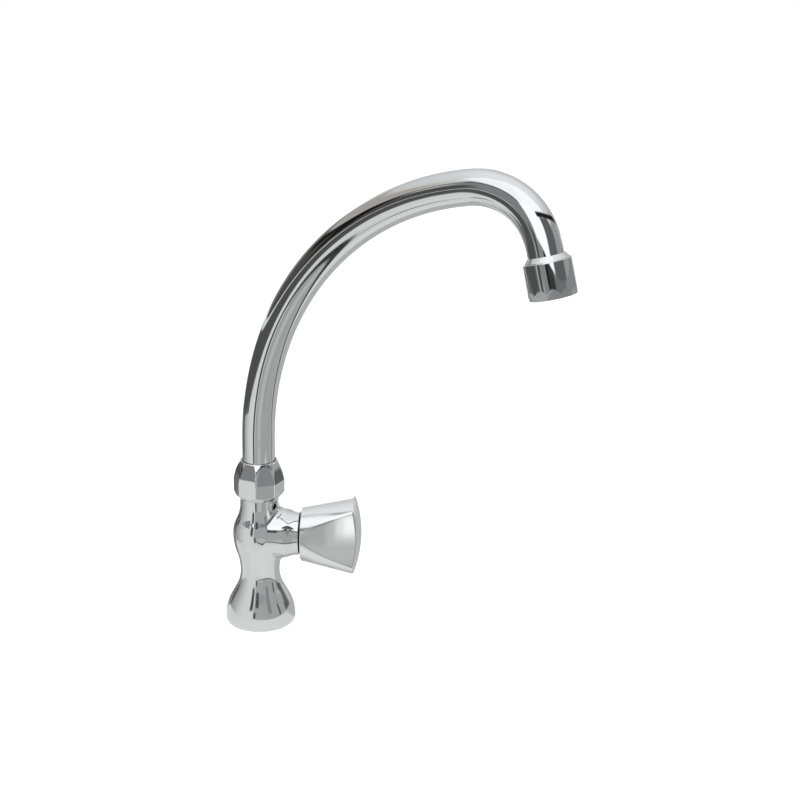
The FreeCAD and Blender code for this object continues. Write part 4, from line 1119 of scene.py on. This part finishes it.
# What the chrome mirrors. Azimuth runs from +Y towards +X, in degrees. Up is the elevation in degrees
# for the room, the distance from the tap in centimetres for the floor, and the height in centimetres
# for the cards. The grey is how bright a panel looks in the chrome, from 0 to 1. An arch is as high as
# its top in the middle and lower by its fall at half its span
ROOM = {
    "window_behind_camera": Panel(-178, 30, 24, 26, 8, 1.0),
    "bright_ceiling_front": Panel(180, 66, 70, 14, 14, 0.98),
    "bright_ceiling_left": Panel(-132, 54, 30, 12, 9, 0.95),
    "grey_wall_left": Panel(-131, 10, 18, 20, 5, 0.48),
    "doorway_left": Panel(-87, -6, 30, 16, 7, 0.29),
    "doorway_lintel": Panel(-76, 13, 26, 1.5, 3, 0.13),
    "doorway_post": Panel(-97, 9, 5, 6, 4, 0.12),
    "grey_jamb": Panel(-47, 2, 7, 14, 6, 0.45),
    "warm_wall_left": Panel(-70, 24, 26, 4, 5, 0.62),
    "white_backdrop": Panel(-17, 2, 15, 14, 6, 1.0),
    "grey_card_right": Panel(82, 10, 24, 16, 5, 0.57),
    "dark_wall_right": Panel(128, 18, 22, 20, 6, 0.36),
}
WARM_SIDE = Panel(-76, 12, 24, 16, 10, 0)
ARCHES = {
    "arch_right": Arch(133, 44, 44, 103, Panel(104, 0, 58, 2.0, 2.5, 0.14)),
    "arch_left": Arch(-135, 34.5, 25, 40, Panel(-125, 0, 26, 1.2, 2.0, 0.2)),
}

# In the floor's painted reflection, the white sheet ends across this azimuth, at a dark edge that widens with
# distance and fades out.
# Its sizes are in centimetres
SHEET_AZIMUTH, SHEET_REACH, SHEET_GREY, SHEET_CHANGE = 142.0, 10.3, 0.8, 0.15
EDGE_WIDTH, EDGE_GROWTH, EDGE_END, EDGE_FADE, EDGE_GREY = 0.4, 0.025, 110.0, 30, 0.2

# The floor's panels are painted light and shade that only the chrome shows.
FLOOR = {
    "beyond_left": Panel(-140, 165, 24, 100, 10, 0.5),
    "shaded_left": Panel(-72, 36, 34, 21, 6, 0.4),
    "shaded_back": Panel(-50, 12, 14, 4, 6, 0.5),
    "shaded_right": Panel(40, 10, 40, 20, 10, 0.66),
    "beyond_table_left": Panel(-87, 120, 42, 74, 7, 0.3),
    "backdrop_foot": Panel(-20, 140, 16, 90, 8, 0.97),
    "front_glow": Panel(172, 35, 8, 20, 8, 0.68),
}
# The cards glow and light nothing, and only the chrome shows them: their greys and their dark and bright panels
# are painted reflections.
FAR_CARD = {
    "dark_right": Panel(69, 2, 12, 5, 2, 0.36),
    "streak": Panel(107, 6, 2, 6, 2, 0.3),
    "nut_front": Panel(141, 14, 5, 6, 3, 0.5),
    "top": Panel(125, 26, 75, 6, 2, 0.5),
    "top_right": Panel(130, 24, 10, 2.5, 2, 0.42),
    "top_dark": Panel(147, 24, 6, 2, 2, 0.22),
    "top_darker": Panel(156, 24, 2, 2, 2, 0.13),
    "top_left": Panel(187, 20, 5, 3, 2, 0.28),
    "top_end": Panel(66, 21, 7, 3, 3, 0.9),
}
SIDE_CARD = {
    "shaded_side": Panel(-60, 4, 0, 9, 75, 0.54),
    "dark": Panel(-154, 8.4, 4, 2.6, 2.5, 0.28),
}
FOOT_CARD = {
    "dark": Panel(-166, 2.0, 4, 1.0, 1.5, 0.3),
}
# The knob's card stands where the grip faces look, to paint a highlight on the knob.
KNOB_CARD = {
    "glow": Panel(127, 6.5, 5, 0.5, 1.2, 0.84),
    "bright": Panel(127, 6.5, 2, 0.2, 1.0, 0.94),
}

# Where the cards stand: the azimuths between which they curve about the tap, and the side cards'
# heights in millimetres. The knob's card is straight and stands on its own
FAR_ARC, FOOT_ARC = (50, 201), (184, 197)
SIDE_CARDS = ((197, 220, 106), (220, 281, 88), (281, 290, 58))
CARD_FOOT, CARD_ROWS = 0.3 * MM, 12
FOOT_CARD_HEIGHTS, KNOB_CARD_HEIGHTS = (4 * MM, 50 * MM), (48 * MM, 82 * MM)
KNOB_CARD_ENDS, KNOB_CARD_GREY = ((36, -38), (62, -38)), 0.68

# The colours of the mirrored room, floor and cards, and the share of light that chrome mirrors
COOL_TINT, WARM_TINT = (0.965, 0.985, 1.0, 1), (1.0, 0.95, 0.85, 1)
FLOOR_TINT, CARD_TINT = (0.96, 1.0, 0.978, 1), (0.96, 1.0, 0.985, 1)
CHROME_SHARE = 0.77
LAMP_PLACE, LAMP_TURN, LAMP_SIZE, LAMP_POWER = (0.2, -0.3, 1.3), (-0.22, 0.15, 0), 1.2, 5.0


def light_for(grey):
    """The light that looks this grey once chrome has mirrored it."""
    return grey**2.2 / CHROME_SHARE


@shader_group({
    "Azimuth": 0.0, "Up": 0.0, "Middle Azimuth": 0.0, "Middle Up": 0.0, "Half Width": 10.0,
    "Half Up": 10.0, "Softness": 5.0, "Behind": 0.0, "Light": 1.0,
}, ("Result",))
def studio_panel(group, given):
    """A soft-edged rectangle: the product of a smooth step across and one up, from its middle."""
    turn = math_node(group, "SUBTRACT", given["Azimuth"], given["Middle Azimuth"])
    turn = math_node(group, "WRAP", turn, 180.0, -180.0)
    climb = math_node(group, "SUBTRACT", given["Up"], given["Middle Up"])
    steps = []
    for offset, half in ((turn, given["Half Width"]), (climb, given["Half Up"])):
        outer = math_node(group, "ADD", half, given["Softness"])
        steps.append(spread_node(group, math_node(group, "ABSOLUTE", offset), half, outer, 1.0, 0.0))
    mask = math_node(group, "MULTIPLY", *steps)
    change = math_node(group, "SUBTRACT", given["Light"], given["Behind"])
    return [math_node(group, "MULTIPLY_ADD", mask, change, given["Behind"])]


def laid_over(tree, azimuth, up, panel, behind, light):
    """One panel's light laid over what is behind it."""
    middle = {"Middle Azimuth": panel.azimuth, "Middle Up": panel.up}
    size = {"Half Width": panel.half_width, "Half Up": panel.half_up, "Softness": panel.softness}
    values = {"Azimuth": azimuth, "Up": up, "Behind": behind, "Light": light, **middle, **size}
    return add_node(tree, "ShaderNodeGroup", {"node_tree": studio_panel()}, **values).outputs["Result"]


def panelled(tree, light, azimuth, up, panels):
    """The light behind with each panel laid over it in turn."""
    for panel in panels.values():
        light = laid_over(tree, azimuth, up, panel, light, light_for(panel.grey))
    return light


def bearing(tree, x, y):
    """The azimuth of a direction or place, in degrees from +Y towards +X."""
    return math_node(tree, "MULTIPLY", math_node(tree, "ARCTAN2", x, y), 180 / math.pi)


def above_arch(tree, azimuth, elevation, arch):
    """The elevation over an arch: a parabola of elevation over azimuth, highest at its middle."""
    aside = math_node(tree, "SUBTRACT", azimuth, arch.middle)
    aside = math_node(tree, "DIVIDE", math_node(tree, "WRAP", aside, 180.0, -180.0), arch.half_span)
    fall = math_node(tree, "MULTIPLY", math_node(tree, "MULTIPLY", aside, aside), arch.fall)
    return math_node(tree, "ADD", math_node(tree, "SUBTRACT", elevation, arch.top), fall)


def studio_world():
    """A pale room for the chrome to mirror, warm on the left, and plain white for the camera."""
    world = bpy.data.worlds.new("studio")
    bpy.context.scene.world = world
    world.use_nodes = True
    tree = world.node_tree
    tree.nodes.clear()
    way = tree.nodes.new("ShaderNodeTexCoord").outputs["Generated"]
    x, y, z = add_node(tree, "ShaderNodeSeparateXYZ", Vector=way).outputs
    azimuth = bearing(tree, x, y)
    elevation = math_node(tree, "MULTIPLY", math_node(tree, "ARCSINE", z), 180 / math.pi)
    room = spread_node(tree, elevation, 0.0, 75.0, light_for(0.66), light_for(0.88))
    room = panelled(tree, room, azimuth, elevation, ROOM)
    for name, arch in ARCHES.items():
        over = above_arch(tree, azimuth, elevation, arch)
        room = panelled(tree, room, azimuth, over, {name: arch.panel})
    warmth = laid_over(tree, azimuth, elevation, WARM_SIDE, 0.0, 1.0)
    tint = add_node(tree, "ShaderNodeMix", {"data_type": "RGBA"}, i0=warmth, i6=COOL_TINT, i7=WARM_TINT)
    mirrored = add_node(tree, "ShaderNodeBackground", Strength=room, Color=tint.outputs[2])
    seen = add_node(tree, "ShaderNodeBackground", Strength=1.0, Color=(1, 1, 1, 1))
    rays = tree.nodes.new("ShaderNodeLightPath").outputs["Is Camera Ray"]
    mix = add_node(tree, "ShaderNodeMixShader", i0=rays, i1=mirrored.outputs[0], i2=seen.outputs[0])
    add_node(tree, "ShaderNodeOutputWorld", Surface=mix.outputs[0])


def stage_material(name):
    """An empty stage material, with its tree, its place and that place's x, y and z."""
    material = bpy.data.materials.new(name)
    material.use_nodes = True
    tree = material.node_tree
    tree.nodes.clear()
    place = tree.nodes.new("ShaderNodeTexCoord").outputs["Object"]
    x, y, z = add_node(tree, "ShaderNodeSeparateXYZ", Vector=place).outputs
    return material, tree, place, x, y, z


def floor_material(studio):
    """Pale floor: white to the eye with a faint contact shadow.

    In the chrome it shows its own glow instead, a painted reflection: a white sheet under the tap that ends at a
    straight dark edge, and the table beyond, with panels by azimuth and distance in centimetres.
    """
    material, tree, place, x, y, _ = stage_material("studio_floor")
    azimuth = bearing(tree, x, y)
    square = math_node(tree, "MULTIPLY_ADD", x, x, math_node(tree, "MULTIPLY", y, y))
    distance = math_node(tree, "MULTIPLY", math_node(tree, "SQRT", square), 100.0)
    sine, cosine = (100 * turn(math.radians(SHEET_AZIMUTH)) for turn in (math.sin, math.cos))
    along = math_node(tree, "MULTIPLY_ADD", x, sine, math_node(tree, "MULTIPLY", y, cosine))
    tone = spread_node(tree, noise(tree, place, 9.0, 2.0), 0.3, 0.7, 0.93, 1.05)
    sheet, table = light_for(SHEET_GREY), light_for(studio.floor_grey)
    light = spread_node(tree, along, SHEET_REACH - SHEET_CHANGE, SHEET_REACH + SHEET_CHANGE, sheet, table)
    light = panelled(tree, math_node(tree, "MULTIPLY", light, tone), azimuth, distance, FLOOR)
    off_edge = math_node(tree, "ABSOLUTE", math_node(tree, "SUBTRACT", along, SHEET_REACH))
    width = math_node(tree, "MULTIPLY_ADD", distance, EDGE_GROWTH, EDGE_WIDTH)
    inner, outer = (math_node(tree, "MULTIPLY", width, part) for part in (0.6, 1.3))
    edge = spread_node(tree, off_edge, inner, outer, 1.0, 0.0)
    fading = spread_node(tree, distance, EDGE_END - EDGE_FADE, EDGE_END, 1.0, 0.0)
    edge = math_node(tree, "MULTIPLY", edge, fading)
    change = math_node(tree, "SUBTRACT", light_for(EDGE_GREY), light)
    light = math_node(tree, "MULTIPLY_ADD", edge, change, light)
    mirrored = add_node(tree, "ShaderNodeEmission", Strength=light, Color=FLOOR_TINT)
    matt = add_node(tree, "ShaderNodeBsdfDiffuse", Color=(0.9, 0.9, 0.9, 1))
    glow = add_node(tree, "ShaderNodeEmission", Strength=0.5)
    seen = add_node(tree, "ShaderNodeAddShader", i0=matt.outputs[0], i1=glow.outputs[0])
    rays = tree.nodes.new("ShaderNodeLightPath").outputs["Is Glossy Ray"]
    mix = add_node(tree, "ShaderNodeMixShader", i0=rays, i1=seen.outputs[0], i2=mirrored.outputs[0])
    add_node(tree, "ShaderNodeOutputMaterial", Surface=mix.outputs[0])
    return material


def round_path(start, end, distance):
    """Places on a circle about the tap, between two azimuths in degrees."""
    turn = np.radians(np.arange(start, end + 0.5))
    return distance * np.stack([np.sin(turn), np.cos(turn)], -1)


def card(name, path, heights, grey, panels):
    """A card that only the chrome shows, glowing and lighting nothing, so that it is a painted reflection: an
    upright strip along a path, between two heights.
    """
    rise = np.linspace(*heights, CARD_ROWS)[:, None]
    grid = np.stack([path[:, 0] + 0 * rise, path[:, 1] + 0 * rise, rise + 0 * path[:, 0]], -1)
    numbers = np.arange(grid[..., 0].size).reshape(grid.shape[:2])
    mesh = bpy.data.meshes.new(name)
    mesh.from_pydata(grid.reshape(-1, 3), [], cells_of(numbers).reshape(-1, 4))
    strip = add_object(name, mesh)
    material, tree, _, x, y, z = stage_material(name)
    height = math_node(tree, "MULTIPLY", z, 100.0)
    light = panelled(tree, light_for(grey), bearing(tree, x, y), height, panels)
    glow = add_node(tree, "ShaderNodeEmission", Strength=light, Color=CARD_TINT)
    add_node(tree, "ShaderNodeOutputMaterial", Surface=glow.outputs[0])
    mesh.materials.append(material)
    for rays in ("camera", "diffuse", "shadow", "transmission", "volume_scatter"):
        setattr(strip, f"visible_{rays}", False)


def place_camera(studio):
    """The camera: turned, tilted and rolled as the picture was taken."""
    data = bpy.data.cameras.new("camera")
    data.sensor_fit = "HORIZONTAL"
    data.sensor_width = 36
    data.lens = studio.lens
    camera = add_object("camera", data)
    camera.matrix_world = (
        Matrix.Translation(studio.camera_place)
        @ Matrix.Rotation(studio.camera_yaw, 4, "Z")
        @ Matrix.Rotation(-studio.camera_pitch, 4, "X")
        @ Matrix.Rotation(studio.camera_roll, 4, "Y")
        @ Matrix.Rotation(math.pi / 2, 4, "X")
    )
    bpy.context.scene.camera = camera


# Operators


class TAP_OT_body(bpy.types.Operator):
    """Make the waisted body with its side boss"""

    bl_idname = "tap.body"
    bl_label = "Body"

    def execute(self, context):
        grids, kept = body_sheets(context.scene.tap_body)
        new_piece("body", grids, "base", "chrome", material="cast_chrome", kept=kept)
        return {"FINISHED"}


class TAP_OT_union_nut(bpy.types.Operator):
    """Make the octagonal union nut that holds the spout"""

    bl_idname = "tap.union_nut"
    bl_label = "Union nut"

    def execute(self, context):
        sizes, thread = context.scene.tap_nut, context.scene.tap_body.thread_radius
        low, high = NUT_LOW.z, NUT_HIGH.z
        corner = sizes.flats / 2 / math.cos(math.pi / sizes.sides)
        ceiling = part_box("slip_ring")[1].z
        lower = np.array([[sizes.bottom_radius, low], [corner, low + sizes.chamfer_height]])
        crease, pitch = low + sizes.dome_start, 0.1 * MM
        dome = arc((corner, crease), (sizes.rim_radius, high), sizes.dome_curve, pitch)
        rim_start = high - 0.45 * MM
        dome = dome[dome[:, 1] < rim_start]
        rim = np.interp(rim_start, [dome[-1, 1], high], [dome[-1, 0], sizes.rim_radius])
        dome = np.vstack([dome, [[rim, rim_start]]])
        inside = outline([
            Station(*dome[-1]),
            Station(sizes.rim_radius, high, 0.3 * MM),
            Station(sizes.opening_radius, high, 0.2 * MM),
            Station(sizes.opening_radius, ceiling),
            Station(thread, ceiling),
            Station(thread, low, 0.15 * MM),
            Station(sizes.bottom_radius, low),
        ], 1.2 * MM)
        facet = arc((sizes.flats / 2, crease), (sizes.rim_radius, high), sizes.facet_curve, pitch)
        flats = np.vstack([[[sizes.flats / 2, low]], facet])
        sheets = nut_sheets(low, rim_start, flats, sizes.sides, 0.5 * MM, lower, dome, inside)
        new_piece("spout_nut", sheets, "base", "chrome")
        return {"FINISHED"}


class TAP_OT_spout(bpy.types.Operator):
    """Make the swan-neck tube with its outlet bush"""

    bl_idname = "tap.spout"
    bl_label = "Spout"

    def execute(self, context):
        sizes = context.scene.tap_spout
        new_piece("spout_tube", tube_sheets(sizes), "spout", "chrome")
        bush = outline([
            Station(sizes.tube_bore, -sizes.bush_thread_length),
            Station(sizes.bush_thread, -sizes.bush_thread_length, 0.3 * MM),
            Station(sizes.bush_thread, 0),
            Station(sizes.bush_radius, 0, 0.25 * MM),
            Station(sizes.tube_radius + 0.25 * MM, sizes.bush_cone, 0.2 * MM),
            Station(sizes.tube_radius, sizes.bush_cone),
            Station(sizes.tube_radius, -sizes.socket),
            Station(sizes.tube_bore, -sizes.socket),
        ], 0.6 * MM, closed=True)
        turned_piece("outlet_bush", bush, TURNED_COLUMNS, "spout", "chrome", outlet_place(sizes))
        return {"FINISHED"}


class TAP_OT_aerator(bpy.types.Operator):
    """Make the aerator shell with its spanner facets"""

    bl_idname = "tap.aerator"
    bl_label = "Aerator"

    def execute(self, context):
        sizes = context.scene.tap_spout
        sheets = aerator_sheets(sizes, outlet_place(sizes))
        new_piece("aerator_housing", sheets, "spout", "chrome", name="aerator_surface")
        return {"FINISHED"}


class TAP_OT_knob(bpy.types.Operator):
    """Make the coned knob with its grip faces, and its index cap"""

    bl_idname = "tap.knob"
    bl_label = "Knob"

    def execute(self, context):
        sizes = context.scene.tap_knob
        new_piece("knob", knob_sheets(sizes), "knob", "knob_chrome")
        cap = outline([
            Station(0, CAP_LOW.x),
            Station(sizes.cap_radius, CAP_LOW.x, 0.3 * MM),
            Station(sizes.cap_radius, dome_place(sizes, sizes.cap_radius), 0.35 * MM, dome_curve(sizes)),
            Station(0, CAP_HIGH.x),
        ], 0.5 * MM)
        turned_piece("index_cap", cap, TURNED_COLUMNS, "knob", "cap_chrome", about_valve)
        return {"FINISHED"}


class TAP_OT_fixings(bpy.types.Operator):
    """Make the threaded tail, its backnut and the rings that seal and clamp the deck"""

    bl_idname = "tap.fixings"
    bl_label = "Fixings"

    def execute(self, context):
        sizes = context.scene.tap_body
        new_piece("threaded_shank", shank_sheets(sizes), "base", "brass")
        low, high, lower, upper, inside = backnut_profiles(sizes)
        flats = np.array([[sizes.backnut_flats / 2, low], [sizes.backnut_flats / 2, high]])
        sheets = nut_sheets(low, high, flats, 6, 0.4 * MM, lower, upper, inside)
        new_piece("backnut", sheets, "base", "brass")
        hole = 10.9 * MM
        rings = {
            "base_gasket": ("black_rubber", 0.3),
            "rubber_washer": ("black_rubber", 0.5),
            "clamp_washer": ("steel", 0.25),
        }
        for name, (slot, edge) in rings.items():
            low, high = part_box(name)
            profile = outline([
                Station(hole, low.z, edge * MM),
                Station(high.y, low.z, edge * MM),
                Station(high.y, high.z, edge * MM),
                Station(hole, high.z, edge * MM),
            ], 1 * MM, closed=True)
            turned_piece(name, profile, RING_COLUMNS, "base", slot)
        return {"FINISHED"}


class TAP_OT_inner_pieces(bpy.types.Operator):
    """Give every piece that keeps its own mesh the finish of its slot"""

    bl_idname = "tap.inner_pieces"
    bl_label = "Inner pieces"

    def execute(self, context):
        slots = {entry["node"]: entry["material_slot"] for entry in frame["record"]["subparts"]}
        for name, node in frame["nodes"].items():
            node.data.materials.clear()
            node.data.materials.append(finish(slots[name]))
        return {"FINISHED"}


class TAP_OT_studio(bpy.types.Operator):
    """Make the pale floor, the mirrored cards and room, the light and the camera"""

    bl_idname = "tap.studio"
    bl_label = "Studio"

    def execute(self, context):
        studio = context.scene.tap_studio
        half = studio.floor_size / 2
        corners = [(-half, -half, 0), (half, -half, 0), (half, half, 0), (-half, half, 0)]
        mesh = bpy.data.meshes.new("floor")
        mesh.from_pydata(corners, [], [(0, 1, 2, 3)])
        floor = add_object("floor", mesh)
        mesh.materials.append(floor_material(studio))
        far, side, grey = studio.far_card_distance, studio.side_card_distance, studio.floor_grey
        card("far_card", round_path(*FAR_ARC, far), (CARD_FOOT, studio.far_card_height), grey, FAR_CARD)
        for start, end, height in SIDE_CARDS:
            path, heights = round_path(start, end, side), (CARD_FOOT, height * MM)
            card(f"side_card_{start}", path, heights, SHEET_GREY, SIDE_CARD)
        card("foot_card", round_path(*FOOT_ARC, side), FOOT_CARD_HEIGHTS, grey, FOOT_CARD)
        beside_knob = np.array(KNOB_CARD_ENDS) * MM
        card("knob_card", beside_knob, KNOB_CARD_HEIGHTS, KNOB_CARD_GREY, KNOB_CARD)
        lamp = bpy.data.lights.new("soft_light", "AREA")
        lamp.energy, lamp.size = LAMP_POWER, LAMP_SIZE
        light = add_object("soft_light", lamp)
        light.location, light.rotation_euler = LAMP_PLACE, LAMP_TURN
        light.visible_glossy = False
        studio_world()
        place_camera(studio)
        context.scene.view_settings.view_transform = "Standard"
        return {"FINISHED"}


class TAP_PT_panel(bpy.types.Panel):
    """Lists the tap's pieces in the sidebar"""

    bl_idname = "TAP_PT_panel"
    bl_label = "Basin tap"
    bl_space_type = "VIEW_3D"
    bl_region_type = "UI"
    bl_category = "Tap"

    def draw(self, context):
        for operator in OPERATORS:
            self.layout.operator(operator.bl_idname)
        for name in SETTINGS:
            box = self.layout.box()
            settings = getattr(context.scene, name)
            for field in settings.bl_rna.properties:
                if field.identifier not in ("rna_type", "name"):
                    box.prop(settings, field.identifier)


OPERATORS = (
    TAP_OT_studio, TAP_OT_body, TAP_OT_union_nut, TAP_OT_spout, TAP_OT_aerator, TAP_OT_knob,
    TAP_OT_fixings, TAP_OT_inner_pieces,
)
SETTINGS = {
    "tap_body": TapBodySizes,
    "tap_nut": TapNutSizes,
    "tap_spout": TapSpoutSizes,
    "tap_knob": TapKnobSizes,
    "tap_finish": TapFinish,
    "tap_studio": TapStudio,
}


def register():
    """Add the settings, the operators and the panel."""
    for settings in SETTINGS.values():
        bpy.utils.register_class(settings)
    for name, settings in SETTINGS.items():
        setattr(bpy.types.Scene, name, bpy.props.PointerProperty(type=settings))
    for operator in (*OPERATORS, TAP_PT_panel):
        bpy.utils.register_class(operator)


def unregister():
    """Take them away again."""
    for operator in reversed((*OPERATORS, TAP_PT_panel)):
        bpy.utils.unregister_class(operator)
    for name, settings in SETTINGS.items():
        delattr(bpy.types.Scene, name)
        bpy.utils.unregister_class(settings)


def main():
    """Make every piece in order."""
    register()
    bpy.ops.tap.studio()
    bpy.ops.tap.body()
    bpy.ops.tap.union_nut()
    bpy.ops.tap.spout()
    bpy.ops.tap.aerator()
    bpy.ops.tap.knob()
    bpy.ops.tap.fixings()
    bpy.ops.tap.inner_pieces()


if __name__ == "__main__":
    main()
